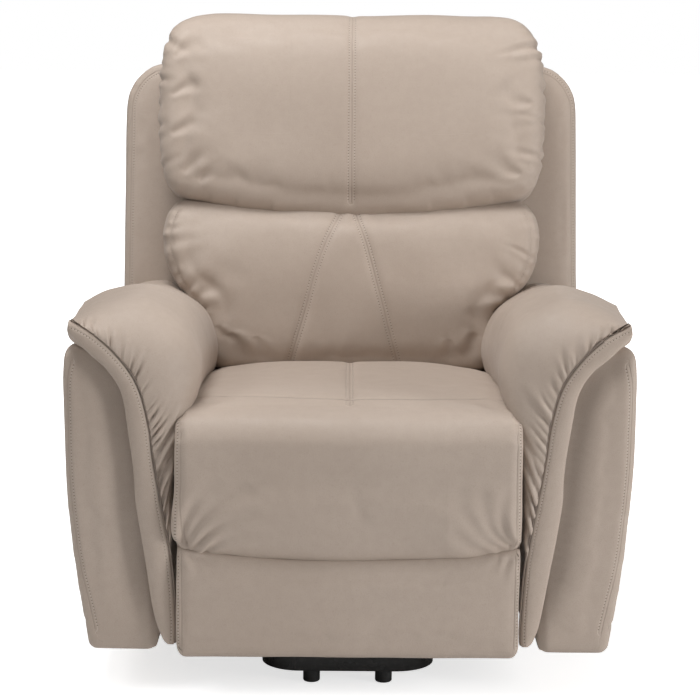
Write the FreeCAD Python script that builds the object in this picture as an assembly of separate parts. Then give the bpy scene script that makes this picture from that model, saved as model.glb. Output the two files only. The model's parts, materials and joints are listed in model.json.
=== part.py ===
"""Lift recliner chair, built from separate named pieces, in millimetres.

The origin is on the floor under the middle of the chair. +Z is up, and the sitter faces -Y.
A floor frame carries a four-bar lift, which raises and tilts an upper frame. The upper frame
holds the seat, the arms, a back that reclines about a pivot behind the seat, and a leg rest that
swings up from a hinge under the seat's front edge. Three linear actuators drive them.
Most pieces come in mirrored pairs, so one side is drawn and both_sides() adds the other.
Side views are drawn as (y, z) points.
"""

import FreeCAD
import Part
import math
import os

V = FreeCAD.Vector

# ---- overall sizes ----
ARM_OUTER_X = 445.0
ARM_INNER_X = 274.0
ARM_FRONT_Y = -456.0
ARM_BOTTOM_Z = 84.0
SEAT_HALF_WIDTH = 268.0
LEG_FRONT_Y = -485.0
LEG_BOTTOM_Z = 76.0
FOOT_HEIGHT = 22.0

# ---- fits ----
RUNNING = 0.08              # radial clearance of a pin that turns in a hole
SNUG = 0.02                 # radial clearance of a pin fixed in its own plate

# ---- pin radii ----
LINK_PIN = 7.0
FRAME_PIN = 6.0             # rear lift link's top, recline pivot and lift motor
CRANK_PIN = 5.0
MOTOR_PIN = 4.0             # small actuators and the leg rest's hinge

# ---- pivots, as (y, z) ----
LIFT_FRONT_BASE = (95.0, 108.0)
LIFT_FRONT_TOP = (-230.0, 142.0)
LIFT_REAR_BASE = (280.0, 72.0)
LIFT_REAR_TOP = (-160.0, 121.0)
LIFT_MOTOR_TAIL = (-297.0, 66.0)
LIFT_ROD_END = (160.0, 162.0)
RECLINE_PIVOT = (215.0, 300.0)
RECLINE_MOTOR_TAIL = (-161.0, 240.0)
RECLINE_ROD_END = (260.8, 261.2)
LEG_HINGE = (-458.0, 434.0)
CRANK_PIVOT = (-290.0, 285.0)
CRANK_ARM = (28.0, -144.0)  # from a fixed pivot to the moving one, on crank and leg rest alike
LEG_MOTOR_TAIL = (100.0, 240.0)
LEG_ROD_END = (-262.4, 261.9)

# ---- planes of the linkage plates on the +X side, as (inner x, outer x) ----
BASE_BRACKET_X = (186.0, 190.0)
FRONT_LINK_X = (192.0, 198.0)
REAR_LINK_X = (202.0, 208.0)
LIFT_PLATE_X = (212.0, 217.0)
SIDE_PLATE_X = (221.0, 225.0)
BACK_POST_X = (228.0, 234.0)
CRANK_X = (240.0, 246.0)
LEG_LINK_X = (250.0, 255.0)
LEG_BRACKET_X = (259.0, 263.0)

BACK_LEAN = 15.0            # degrees from upright
WING_HALF_WIDTH = 415.0
WING_LOW_U = 110.0          # lowest point of the wings, along the back from the pivot
WING_TOP_U = 650.0
BACK_HALF_DEPTH = 55.0
WING_GAP = 8.0              # between the wings' concave ends and the arms' round shoulders
ARM_FALL = 0.1              # how far the arms' tops drop towards the back, per unit of depth

# The origin is mid-depth, so everything moves back by half of what the front has over the back.
REAR_Y = (RECLINE_PIVOT[0] + BACK_HALF_DEPTH * math.cos(math.radians(BACK_LEAN))
          + WING_TOP_U * math.sin(math.radians(BACK_LEAN)))
CENTRE_SHIFT = -(LEG_FRONT_Y + REAR_Y) / 2


# ---- drawing helpers ----
def box(x, y, z):
    """A box from three (low, high) pairs."""
    return Part.makeBox(x[1] - x[0], y[1] - y[0], z[1] - z[0], V(x[0], y[0], z[0]))


def rod(radius, centre, x):
    """A cylinder along X at a (y, z) centre."""
    return Part.makeCylinder(radius, x[1] - x[0], V(x[0], *centre), V(1, 0, 0))


def pipe(radius, wall, centre, x):
    return rod(radius, centre, x).cut(rod(radius - wall, centre, (x[0] - 1, x[1] + 1)))


def side_plate(points, x):
    """A (y, z) outline made solid between two X planes."""
    wire = Part.makePolygon([V(x[0], *p) for p in points + points[:1]])
    return Part.Face(wire).extrude(V(x[1] - x[0], 0, 0))


def front_plate(points, y):
    """An (x, z) outline made solid between two Y planes."""
    wire = Part.makePolygon([V(px, y[0], pz) for px, pz in points + points[:1]])
    return Part.Face(wire).extrude(V(0, y[1] - y[0], 0))


def link(start, end, width, x, start_hole, end_hole):
    """A flat bar with round ends and a hole at each pivot."""
    dy, dz = end[0] - start[0], end[1] - start[1]
    length = math.hypot(dy, dz)
    ny, nz = -dz / length * width / 2, dy / length * width / 2
    corners = [
        (start[0] + ny, start[1] + nz),
        (end[0] + ny, end[1] + nz),
        (end[0] - ny, end[1] - nz),
        (start[0] - ny, start[1] - nz),
    ]
    bar = side_plate(corners, x)
    for centre in (start, end):
        bar = bar.fuse(rod(width / 2, centre, x))
    wide = (x[0] - 1, x[1] + 1)
    for centre, radius in ((start, start_hole), (end, end_hole)):
        if radius:
            bar = bar.cut(rod(radius, centre, wide))
    return bar.removeSplitter()


def mirrored(shape):
    return shape.mirror(V(0, 0, 0), V(1, 0, 0))


def both_sides(shape):
    return Part.makeCompound([shape, mirrored(shape)])


def fused(shapes):
    return shapes[0].fuse(shapes[1:]).removeSplitter()


def rounded(shape, radius, keep):
    """Fillets the edges that keep(edge) picks."""
    edges = [e for e in shape.Edges if keep(e)]
    return shape.makeFillet(radius, edges)


def along(axis_name, length_over=1.0):
    """A filter for straight edges that run along an axis."""
    unit = {"x": V(1, 0, 0), "y": V(0, 1, 0), "z": V(0, 0, 1)}[axis_name]

    def keep(edge):
        ends = edge.Vertexes
        if len(ends) != 2 or edge.Length < length_over:
            return False
        run = ends[1].Point.sub(ends[0].Point)
        return abs(run.dot(unit)) > 0.999 * edge.Length

    return keep


def pin_stack(centre, radius, shaft, head):
    """A headed pin along X: shaft and head are (x, x) spans."""
    return rod(radius, centre, shaft).fuse(rod(radius + 4.0, centre, head))


def turned(shape, pivot, degrees):
    """Turns a shape about an X axis through a (y, z) point."""
    copy = shape.copy()
    copy.rotate(V(0, *pivot), V(1, 0, 0), degrees)
    return copy


def save(name, shape):
    """Writes one node, with every solid moved to the centred frame."""
    solids = [s.copy() for s in shape.Solids]
    for s in solids:
        s.translate(V(0, CENTRE_SHIFT, 0))
    out = solids[0] if len(solids) == 1 else Part.makeCompound(solids)
    out.exportStep(f"parts/{name}.step")


# ---- floor frame ----
RAIL_X = (99.0, 139.0)
RAIL_Z = (FOOT_HEIGHT, FOOT_HEIGHT + 30.0)
RAIL_WALL = 3.0
BASE_FRONT_Y = -390.0
BASE_REAR_Y = 300.0
CROSS_BAR_HALF = 235.0
FRONT_FOOT_X = 58.0
WIDE_FOOT_X = 215.0
MID_BAR_Y = (75.0, 115.0)
REAR_BAR_Y = (262.0, 300.0)


def u_rail(inset, z):
    """A U of rail seen from above, with round outer corners at the front."""
    outer_x, inner_x = RAIL_X[1] - inset, RAIL_X[0] + inset
    front, rear = BASE_FRONT_Y + inset, BASE_REAR_Y - inset
    corner = 62.0 - inset
    outer = box((-outer_x, outer_x), (front, rear), z)
    outer = rounded(outer, corner, lambda e: along("z")(e) and e.CenterOfMass.y < front + 1)
    gap_front = BASE_FRONT_Y + (RAIL_X[1] - RAIL_X[0]) - inset
    gap = box((-inner_x, inner_x), (gap_front, rear + 50), (z[0] - 1, z[1] + 1))
    inner_corner = 22.0 + inset
    gap = rounded(gap, inner_corner, lambda e: along("z")(e) and e.CenterOfMass.y < gap_front + 1)
    return outer.cut(gap)


def hollow_bar(x, y, z, wall):
    inside = [(a + wall, b - wall) for a, b in (x, y, z)]
    return box(x, y, z).cut(box(*inside))


def base_frame():
    inner_z = (RAIL_Z[0] + RAIL_WALL, RAIL_Z[1] - RAIL_WALL)
    frame = u_rail(0, RAIL_Z).cut(u_rail(RAIL_WALL, inner_z))
    half = (-CROSS_BAR_HALF, CROSS_BAR_HALF)
    for y in (MID_BAR_Y, REAR_BAR_Y):
        frame = frame.cut(box(half, y, RAIL_Z))
        frame = frame.fuse(hollow_bar(half, y, RAIL_Z, RAIL_WALL))
    frame = frame.cut(box((-90, 90), (BASE_REAR_Y, BASE_REAR_Y + 60), RAIL_Z))
    return frame.fuse(supply_tray()).removeSplitter()


def base_brackets():
    """Upright plates that carry the lift links' lower pivots."""
    hole = LINK_PIN + SNUG
    top = RAIL_Z[1]
    front = side_plate([(73, top), (117, top), (108, 120), (82, 120)], BASE_BRACKET_X)
    front = front.fuse(rod(13, LIFT_FRONT_BASE, BASE_BRACKET_X))
    rear = side_plate([(262, top), (298, top), (293, 72), (267, 72)], BASE_BRACKET_X)
    rear = rear.fuse(rod(13, LIFT_REAR_BASE, BASE_BRACKET_X))
    wide = (BASE_BRACKET_X[0] - 1, BASE_BRACKET_X[1] + 1)
    front = front.cut(rod(hole, LIFT_FRONT_BASE, wide)).removeSplitter()
    rear = rear.cut(rod(hole, LIFT_REAR_BASE, wide)).removeSplitter()
    return Part.makeCompound([front, mirrored(front), rear, mirrored(rear)])


def lift_motor_bracket():
    """Two ears behind the front rail for the lift motor's tail pin."""
    ear = link((-335, 60), LIFT_MOTOR_TAIL, 24, (22, 27), 0, FRAME_PIN + SNUG)
    foot = box((22, 27), (-347, -323), (RAIL_Z[1], 62))
    foot = foot.fuse(box((22, 27), (-372, -330), (RAIL_Z[1], 58)))
    ear = ear.fuse(foot).cut(box((0, 60), (-380, -290), (0, RAIL_Z[1])))
    return both_sides(ear.removeSplitter())


def foot(x, y, radius):
    body = Part.makeCylinder(radius, FOOT_HEIGHT, V(x, y, 0))
    return body.makeFillet(3.0, [e for e in body.Edges if e.Length > 6 * radius and e.CenterOfMass.z < 1])


def feet(places, radius):
    return Part.makeCompound([foot(side * x, y, radius) for x, y in places for side in (1, -1)])


def base_pins():
    front = pin_stack(LIFT_FRONT_BASE, LINK_PIN, (186, 199), (182, 186))
    front = front.fuse(rod(10, LIFT_FRONT_BASE, (199, 201)))
    rear = pin_stack(LIFT_REAR_BASE, LINK_PIN, (186, 209), (182, 186))
    rear = rear.fuse(rod(10, LIFT_REAR_BASE, (209, 211)))
    tail = rod(FRAME_PIN, LIFT_MOTOR_TAIL, (-30, 30))
    solids = [front, mirrored(front), rear, mirrored(rear), tail]
    return Part.makeCompound([s.removeSplitter() for s in solids])


def power_supply():
    body = box((-198, -141), (130, 250), (24, 60))
    return rounded(body, 5.0, along("z")).cut(box((-182, -157), (244, 251), (34, 52)))


def supply_tray():
    """A folded sheet that hangs the power supply between the two wide bars."""
    x = (-202, -140)
    tray = box(x, (114, 263), (RAIL_Z[0] - 2, RAIL_Z[0]))
    for y in ((115, 117), (260, 262)):
        tray = tray.fuse(box(x, y, (RAIL_Z[0] - 2, RAIL_Z[1] - 6)))
    return tray


# ---- lift links ----
LIFT_LINK_WIDTH = 30.0


def front_lift_links():
    hole = LINK_PIN + RUNNING
    bar = link(LIFT_FRONT_BASE, LIFT_FRONT_TOP, LIFT_LINK_WIDTH, FRONT_LINK_X, hole, hole)
    return both_sides(bar)


REAR_CROSS = (215.0, 79.0)
OPEN_PIVOT_HOLE = 8.6       # the four-bar is opened here: pin radius 6 plus what the loop drifts


def rear_lift_links():
    holes = (LINK_PIN + RUNNING, OPEN_PIVOT_HOLE)
    bar = link(LIFT_REAR_BASE, LIFT_REAR_TOP, LIFT_LINK_WIDTH, REAR_LINK_X, *holes)
    cross = pipe(12, 2.5, REAR_CROSS, (-REAR_LINK_X[0], REAR_LINK_X[0]))
    lever = link(REAR_CROSS, LIFT_ROD_END, 28, (16, 21), 0, FRAME_PIN + SNUG)
    lever = lever.cut(rod(12, REAR_CROSS, (15, 22)))
    pin = rod(FRAME_PIN, LIFT_ROD_END, (-24, 24))
    return fused([bar, mirrored(bar), cross, lever, mirrored(lever), pin])


# ---- linear actuators ----
def actuator(tail, end, centre_x, sizes):
    """A motor housing, its tube and its rod. Drawn along +Y from the tail pin, then turned into place.

    The rod's eye is a slot, because the joint at its end is where the closed loop is opened.
    """
    length = math.hypot(end[0] - tail[0], end[1] - tail[1])
    angle = math.degrees(math.atan2(end[1] - tail[1], end[0] - tail[0]))
    pin, half, gear_end = sizes["pin"], sizes["eye"], sizes["gearbox"]
    tube_end = length - sizes["open"]

    def shaft(radius, start, stop):
        return Part.makeCylinder(radius, stop - start, V(0, start, 0), V(0, 1, 0))

    def across(radius, y, z, half_x):
        return Part.makeCylinder(radius, 2 * half_x, V(-half_x, y, z), V(1, 0, 0))

    def slot(radius, half_x):
        rise = sizes["drift_across"]
        middle = box((-half_x, half_x), (length - radius, length + radius), (-rise, rise))
        return fused([across(radius, length, -rise, half_x), across(radius, length, rise, half_x), middle])

    gearbox = rounded(box((-26, 26), (20, gear_end), (-27, 27)), 9.0, along("y"))
    tail_end = across(pin + 8, 0, 0, half).fuse(box((-half, half), (0, 22), (-14, 14)))
    motor = shaft(23, gear_end, gear_end + sizes["motor"])
    housing = fused([tail_end, gearbox, motor]).cut(across(pin + RUNNING, 0, 0, 40))
    tube = shaft(sizes["tube"], gear_end, tube_end)
    tube = tube.fuse(shaft(sizes["tube"] + 2.5, tube_end - 14, tube_end)).removeSplitter()
    bore = shaft(sizes["rod"] + RUNNING, 40, length)
    housing = housing.cut(bore).cut(tube)
    tube = tube.cut(bore)
    hole = pin + sizes["drift_along"] + 0.3
    rod_shape = shaft(sizes["rod"], sizes["rod_start"], length - 8).fuse(slot(hole + 3.5, half))
    rod_shape = rod_shape.cut(slot(hole, half + 5)).removeSplitter()
    pieces = [housing, tube, rod_shape]
    for piece in pieces:
        piece.rotate(V(0, 0, 0), V(1, 0, 0), angle)
        piece.translate(V(centre_x, *tail))
    return pieces


LIFT_SIZES = {
    "pin": FRAME_PIN, "tube": 18.0, "rod": 10.0, "eye": 14.0, "gearbox": 110.0, "motor": 120.0,
    "open": 34.0, "rod_start": 150.0, "drift_along": 2.4, "drift_across": 6.4,
}
SMALL_SIZES = {
    "pin": MOTOR_PIN, "tube": 14.0, "rod": 8.0, "eye": 9.0, "gearbox": 96.0, "motor": 90.0,
    "open": 62.0, "rod_start": 130.0, "drift_along": 1.9, "drift_across": 6.9,
}
RECLINE_SIZES = {**SMALL_SIZES, "drift_along": 1.3, "drift_across": 2.0}


# ---- upper steel frame ----
def lift_frame():
    """Side rails with the lift pivots' plates, two cross tubes and the ears for two motors."""
    x = LIFT_PLATE_X
    plate = side_plate([(-258, 112), (-236, 118), (-150, 100), (-132, 110), (-120, 178), (-258, 178)], x)
    plate = plate.fuse(rod(17, LIFT_FRONT_TOP, x)).fuse(rod(17, LIFT_REAR_TOP, x))
    rail = box(x, (-260, 240), (176, 216))
    side = plate.fuse(rail)
    wide = (x[0] - 1, x[1] + 1)
    side = side.cut(rod(LINK_PIN + SNUG, LIFT_FRONT_TOP, wide))
    side = side.cut(rod(FRAME_PIN + SNUG, LIFT_REAR_TOP, wide))
    front_tube = pipe(12, 2.5, FRONT_TUBE, (-x[0], x[0]))
    rear_tube = pipe(12, 2.5, REAR_TUBE, (-x[0], x[0]))
    parts = [side.removeSplitter(), mirrored(side).removeSplitter(), front_tube, rear_tube]
    for tube, tail, centre_x in ((FRONT_TUBE, RECLINE_MOTOR_TAIL, 70), (REAR_TUBE, LEG_MOTOR_TAIL, -70)):
        for offset in (-16, 12):
            ear = link(tube, tail, 22, (centre_x + offset, centre_x + offset + 4), 0, MOTOR_PIN + SNUG)
            parts.append(ear.cut(rod(12, tube, (centre_x - 40, centre_x + 40))))
    return fused(parts)


FRONT_TUBE = (-245.0, 196.0)
REAR_TUBE = (190.0, 196.0)


def lift_frame_pins():
    front = pin_stack(LIFT_FRONT_TOP, LINK_PIN, (191, 217), (217, 221))
    front = front.fuse(rod(10, LIFT_FRONT_TOP, (189, 191)))
    rear = pin_stack(LIFT_REAR_TOP, FRAME_PIN, (201, 217), (217, 221))
    rear = rear.fuse(rod(11, LIFT_REAR_TOP, (199.6, 201.4)))
    return Part.makeCompound([s.removeSplitter() for s in (front, mirrored(front), rear, mirrored(rear))])


def motor_tail_pins():
    return Part.makeCompound([
        rod(MOTOR_PIN, RECLINE_MOTOR_TAIL, (52, 88)),
        rod(MOTOR_PIN, LEG_MOTOR_TAIL, (-88, -52)),
    ])


def side_plates():
    """Pressed plates on the lift frame's rails, with the crank and recline pivots."""
    x = SIDE_PLATE_X
    outline = [(-312, 268), (-312, 303), (190, 303), (196, 322), (232, 322), (238, 262), (200, 182),
               (-232, 182), (-262, 262)]
    plate = side_plate(outline, x)
    wide = (x[0] - 1, x[1] + 1)
    plate = plate.cut(rod(11.0 + RUNNING, CRANK_PIVOT, wide)).cut(rod(FRAME_PIN + SNUG, RECLINE_PIVOT, wide))
    for y in (-90, 40):
        plate = plate.cut(rod(22, (y, 245), wide))
    return both_sides(plate)


def side_plate_spacers():
    """Short bushes that hold the side plates off the lift frame, under their bolts."""
    spacers = [rod(9, (y, 196), (217, 221)) for y in (-190, 0, 150)]
    return Part.makeCompound([s for one in spacers for s in (one, mirrored(one))])


def side_plate_bolts():
    bolts = []
    for y in (-190, 0, 150):
        head = Part.Face(Part.makePolygon([
            V(225, y + 7.5 * math.cos(math.radians(a)), 196 + 7.5 * math.sin(math.radians(a)))
            for a in range(0, 361, 60)
        ])).extrude(V(5, 0, 0))
        bolts += [head, mirrored(head)]
    return Part.makeCompound(bolts)


def recline_pins():
    pin = pin_stack(RECLINE_PIVOT, FRAME_PIN, (221, 236), (217, 221))
    pin = pin.fuse(rod(10, RECLINE_PIVOT, (235, 238)))
    return both_sides(pin.removeSplitter())


# ---- seat ----
SEAT_FLOOR_Z = 350.0
SEAT_TOP_Z = 471.0
SEAT_REAR_Z = 416.0
NOSE_CENTRE = (-425.0, 400.0)
NOSE_RADIUS = 60.0


def seat_frame():
    """Timber rails on the side plates: front, rear and two sides."""
    half = 262.0
    front = box((-232, 232), (-434, -409), (244, 336))
    bearer = box((-half, half), (-408, -384), (306, 336))
    rear = box((-half, half), (128, 153), (306, 336))
    side = box((half - 40, half), (-385, 129), (306, 336))
    return fused([front, box((-232, 232), (-410, -407), (306, 336)), bearer, rear, side, mirrored(side)])


def sinuous_spring(x):
    """A zigzag wire from the front rail to the rear rail, made of straights and half circles."""
    pitch, half, wire_r, z = 17.0, 16.0, 1.9, 340.0
    edges, y, side = [], -398.0, 1
    start = V(x - half, y, z)
    while y < 120:
        end = V(x + side * half, y, z)
        edges.append(Part.makeLine(start, end))
        corner = V(x + side * (half + pitch / 2), y + pitch / 2, z)
        after = V(x + side * half, y + pitch, z)
        edges.append(Part.Arc(end, corner, after).toShape())
        start, y, side = after, y + pitch, -side
    edges.append(Part.makeLine(start, V(x + side * half, y, z)))
    path = Part.Wire(edges)
    profile = Part.Wire([Part.makeCircle(wire_r, edges[0].Vertexes[0].Point, V(1, 0, 0))])
    return path.makePipeShell([profile], True, False)


def seat_springs():
    return Part.makeCompound([sinuous_spring(x) for x in (-180, -90, 0, 90, 180)])


def seat_cushion():
    """Foam from the back of the seat to the nose, cut at 45 degrees through the leg rest's hinge."""
    cy, cz = NOSE_CENTRE
    reach = NOSE_RADIUS * math.sqrt(0.5)
    top_front = V(0, cy, cz + NOSE_RADIUS)
    half_way = math.radians(22.5)
    on_arc = V(0, cy - NOSE_RADIUS * math.sin(half_way), cz + NOSE_RADIUS * math.cos(half_way))
    nose = V(0, cy - reach, cz + reach)
    points = [V(0, -430, cz + 5), V(0, -430, SEAT_FLOOR_Z), V(0, 150, SEAT_FLOOR_Z), V(0, 150, SEAT_REAR_Z),
              V(0, 0, SEAT_TOP_Z - 18), V(0, -100, SEAT_TOP_Z - 4), V(0, -230, SEAT_TOP_Z),
              V(0, -330, SEAT_TOP_Z - 2), top_front]
    edges = [Part.Arc(top_front, on_arc, nose).toShape(), Part.makeLine(nose, points[0])]
    edges += [Part.makeLine(a, b) for a, b in zip(points, points[1:])]
    body = Part.Face(Part.Wire(Part.__sortEdges__(edges))).extrude(V(2 * SEAT_HALF_WIDTH, 0, 0))
    body.translate(V(-SEAT_HALF_WIDTH, 0, 0))
    pocket = box((145, 215), (-476, -431), (cz - 2, 446))
    return body.cut(pocket).cut(mirrored(pocket)).removeSplitter()


# ---- leg rest ----
BOARD_Y = (-456.0, -444.0)
TUCK_Z = 245.0              # sewn valley between calf pad and foot pad


def hinge_fixed():
    """Posts on the front rail with the hinge's middle knuckle and its pin."""
    plate = box((170, 190), (-438, -434), (290, 428))
    arm = side_plate([(-438, 420), (-434, 428), (-456, 441), (-460, 430)], (170, 190))
    knuckle = rod(8, LEG_HINGE, (170, 190))
    pin = rod(MOTOR_PIN, LEG_HINGE, (148, 212))
    one = fused([plate, arm, knuckle, pin])
    return both_sides(one)


def hinge_moving():
    """Two straps a side on the back of the board, each with a knuckle on the pin."""
    straps = []
    for x in ((150, 168), (192, 210)):
        strap = box(x, (BOARD_Y[1], -441), (370, 426))
        arm = side_plate([(-441, 416), (-441, 427), (-456, 441), (-460, 430), (-444, 419)], x)
        strap = fused([strap, arm, rod(8, LEG_HINGE, x)])
        strap = strap.cut(box(x, BOARD_Y, (300, 425)))
        strap = strap.cut(rod(MOTOR_PIN + RUNNING, LEG_HINGE, (x[0] - 1, x[1] + 1)))
        straps += [strap, mirrored(strap)]
    return Part.makeCompound(straps)


def leg_board():
    return box((-258, 258), BOARD_Y, (90, 418))


def calf_pad():
    """Its top is cut back from the hinge, so that it clears the seat's nose when it swings up."""
    half = SEAT_HALF_WIDTH
    pad = side_plate([(LEG_FRONT_Y, 407), (LEG_FRONT_Y, TUCK_Z), (-457, TUCK_Z), (-457, 420), (-466, 424)],
                     (-half, half))
    return pad.removeSplitter()


def foot_pad():
    half = SEAT_HALF_WIDTH
    pad = box((-half, half), (LEG_FRONT_Y, -457), (LEG_BOTTOM_Z, TUCK_Z - 1))
    pad = pad.fuse(box((-half, half), (-457.5, -443), (LEG_BOTTOM_Z, 89)))
    return rounded(pad.removeSplitter(), 10.0,
                   lambda e: along("y", 20)(e) and e.CenterOfMass.z < LEG_BOTTOM_Z + 1)


def leg_pivot():
    return LEG_HINGE[0] + CRANK_ARM[0], LEG_HINGE[1] + CRANK_ARM[1]


def crank_end():
    return CRANK_PIVOT[0] + CRANK_ARM[0], CRANK_PIVOT[1] + CRANK_ARM[1]


def leg_brackets():
    """Angles on the back of the board that carry the links' front pivots, with their pins."""
    x = LEG_BRACKET_X
    y, z = leg_pivot()
    plate = side_plate([(BOARD_Y[1] + 3, z - 45), (BOARD_Y[1] + 3, z + 45), (y, z + 12), (y, z - 12)], x)
    plate = plate.fuse(rod(12, (y, z), x))
    plate = plate.cut(box((200, 300), (-470, BOARD_Y[1]), (0, 500)))
    flange = box((222, x[1]), (BOARD_Y[1], BOARD_Y[1] + 3), (z - 45, z + 45))
    pin = rod(CRANK_PIN, (y, z), (248, x[1]))
    return both_sides(fused([plate, flange, pin]))


def crank_shaft():
    """The cross tube that turns in the side plates, with both cranks and the motor's lever."""
    tube = pipe(11, 2.5, CRANK_PIVOT, (-CRANK_X[1], CRANK_X[1]))
    crank = link(CRANK_PIVOT, crank_end(), 28, CRANK_X, 0, CRANK_PIN + SNUG)
    crank = crank.cut(rod(11, CRANK_PIVOT, (CRANK_X[0] - 1, CRANK_X[1] + 1)))
    levers = []
    for x in ((-84.5, -80.5), (-59.5, -55.5)):
        lever = link(CRANK_PIVOT, LEG_ROD_END, 24, x, 0, MOTOR_PIN + SNUG)
        levers.append(lever.cut(rod(11, CRANK_PIVOT, (x[0] - 1, x[1] + 1))))
    return fused([tube, crank, mirrored(crank)] + levers)


def crank_pins():
    pin = rod(CRANK_PIN, crank_end(), (CRANK_X[0], 256)).fuse(rod(9, crank_end(), (256, 258)))
    lever_pin = rod(MOTOR_PIN, LEG_ROD_END, (-86, -54))
    return Part.makeCompound([pin.removeSplitter(), mirrored(pin).removeSplitter(), lever_pin])


LOOP_PLAY = 0.4             # the leg rest's loop is opened at this pivot


def leg_links():
    bar = link(crank_end(), leg_pivot(), 21, LEG_LINK_X, CRANK_PIN + RUNNING, CRANK_PIN + LOOP_PLAY)
    return both_sides(bar)


# ---- back, drawn upright with the pivot at the origin: x across, y rearwards, z up the back ----
def lean(shape):
    """Turns an upright back piece to its lean and moves it to the recline pivot."""
    shape = shape.copy()
    shape.rotate(V(0, 0, 0), V(1, 0, 0), -BACK_LEAN)
    shape.translate(V(0, *RECLINE_PIVOT))
    return shape


def back_shell():
    """Padded outer shell with side wings, hollow for the timber frame and open underneath."""
    d = BACK_HALF_DEPTH
    wings = box((-WING_HALF_WIDTH, WING_HALF_WIDTH), (-d, d), (40, WING_TOP_U))
    wings = rounded(wings, 78.0, lambda e: along("y")(e) and e.CenterOfMass.z > WING_TOP_U - 1)
    hub = Part.makeCylinder(WING_LOW_U, 900, V(-450, 0, 0), V(1, 0, 0))
    wings = wings.cut(hub).cut(box((-450, 450), (-d - 1, d + 1), (0, 41)))
    shell = wings.fuse(box((-214, 214), (-d, d), (4, 125))).removeSplitter()
    cavity = box((-244, 244), (-36, 36), (WING_LOW_U + 20, WING_TOP_U - 60))
    cavity = cavity.fuse(box((-214.5, 214.5), (-36, 36), (0, WING_LOW_U + 21)))
    post_slots = box((214, 244), (-24, 24), (0, WING_LOW_U + 21))
    lever_slot = box((48, 92), (0, d + 1), (0, 80))
    return shell.cut(cavity).cut(both_sides(post_slots)).cut(lever_slot).removeSplitter()


def back_frame():
    """Timber ladder: two stiles and three rails."""
    stile = box((190, 214), (-34, 34), (10, 585))
    rails = [box((-214, 214), (-20, 20), z) for z in ((60, 110), (300, 350), (535, 585))]
    return fused([stile, mirrored(stile)] + rails)


def back_posts():
    """Steel posts bolted to the stiles, with the recline pivot at their foot."""
    x = BACK_POST_X
    post = box(x, (-14, 14), (0, 300)).fuse(Part.makeCylinder(14, x[1] - x[0], V(x[0], 0, 0), V(1, 0, 0)))
    post = post.fuse(box((214, x[0]), (-14, 14), (150, 280)))
    post = post.cut(Part.makeCylinder(FRAME_PIN + RUNNING, 30, V(x[0] - 2, 0, 0), V(1, 0, 0)))
    return both_sides(post.removeSplitter())


def back_webbing():
    """Elastic straps across the frame, behind the cushions."""
    straps = [box((-189, 189), (22, 24), (z, z + 45)) for z in (140, 200, 375, 435)]
    return Part.makeCompound(straps)


def recline_lever():
    """A bracket low on the back frame that the recline rod pulls, drawn in place."""
    y, z = RECLINE_ROD_END
    plates = []
    for x in ((55, 59), (81, 85)):
        plate = link((y, z), (y - 11, z + 112), 22, x, MOTOR_PIN + SNUG, 0)
        plates.append(plate.cut(turned(box((0, 200), (195, 235), (360, 410)), RECLINE_PIVOT, -BACK_LEAN)))
    pin = rod(MOTOR_PIN, RECLINE_ROD_END, (52, 88))
    return Part.makeCompound(plates + [pin])


LUMBAR_OUTLINE = [(0, 101), (236, 101), (238, 222), (254, 268), (300, 296), (332, 320), (336, 358),
                  (320, 405), (160, 374), (0, 364)]
HEAD_OUTLINE = [(0, 371), (160, 381), (322, 412), (338, 450), (345, 560), (343, 655), (323, 704),
                (280, 727), (0, 729)]


def cushion_block(outline, depth, crown):
    """A plain cushion from half an (x, z) outline, standing off the shell's front."""
    full = outline + [(-x, z) for x, z in reversed(outline) if x]
    front = -BACK_HALF_DEPTH - 3
    block = front_plate(full, (front - depth, front))
    return rounded(block, crown, lambda e: e.CenterOfMass.y < front - depth + 1)


def lumbar_cushion():
    return cushion_block(LUMBAR_OUTLINE, 130.0, 26.0)


def head_cushion():
    return cushion_block(HEAD_OUTLINE, 140.0, 30.0)


# ---- arms, drawn on the +X side as an (x, z) front outline cut to a (y, z) side outline ----
ARM_BODY = [(300, 0), (400, 0), (410, ARM_BOTTOM_Z), (430, 200), (442, 330), (ARM_OUTER_X, 400),
            (ARM_OUTER_X, 538), (434, 555), (348, 555), (300, 497)]
ARM_PAD = [(ARM_INNER_X, 20), (298, 20), (298, 501), (345, 559), (402, 559), (428, 570), (433, 594),
           (396, 622), (336, 634), (282, 606), (250, 552), (245, 512), (258, 492), (ARM_INNER_X, 484)]
ARM_FACING = [(ARM_INNER_X, 92), (284, 92), (328, 260), (343, 430), (354, 500), (414, 562), (430, 572),
              (433, 596), (398, 606), (345, 575), (312, 525), (292, 450), (278, 300)]


def arm_side(front_y):
    """The arm seen from the side: a slanting rear edge, then a round shoulder about the recline pivot."""
    py, pz = RECLINE_PIVOT
    radius = WING_LOW_U - WING_GAP
    start = V(200, py + radius, pz)
    top_angle = math.radians(110)
    middle = V(200, py + radius * math.cos(math.radians(50)), pz + radius * math.sin(math.radians(50)))
    shoulder = V(200, py + radius * math.cos(top_angle), pz + radius * math.sin(top_angle))
    corner = V(200, 222, 562)
    outline = [corner, V(200, 100, 566), V(200, -223, 620), V(200, -385, 625), V(200, front_y + 18, 612),
               V(200, front_y, 596), V(200, front_y, ARM_BOTTOM_Z), V(200, py + radius - 12, ARM_BOTTOM_Z),
               start]
    edges = [Part.Arc(start, middle, shoulder).toShape(), Part.makeLine(shoulder, corner)]
    edges += [Part.makeLine(a, b) for a, b in zip(outline, outline[1:])]
    return Part.Face(Part.Wire(Part.__sortEdges__(edges))).extrude(V(300, 0, 0))


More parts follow.
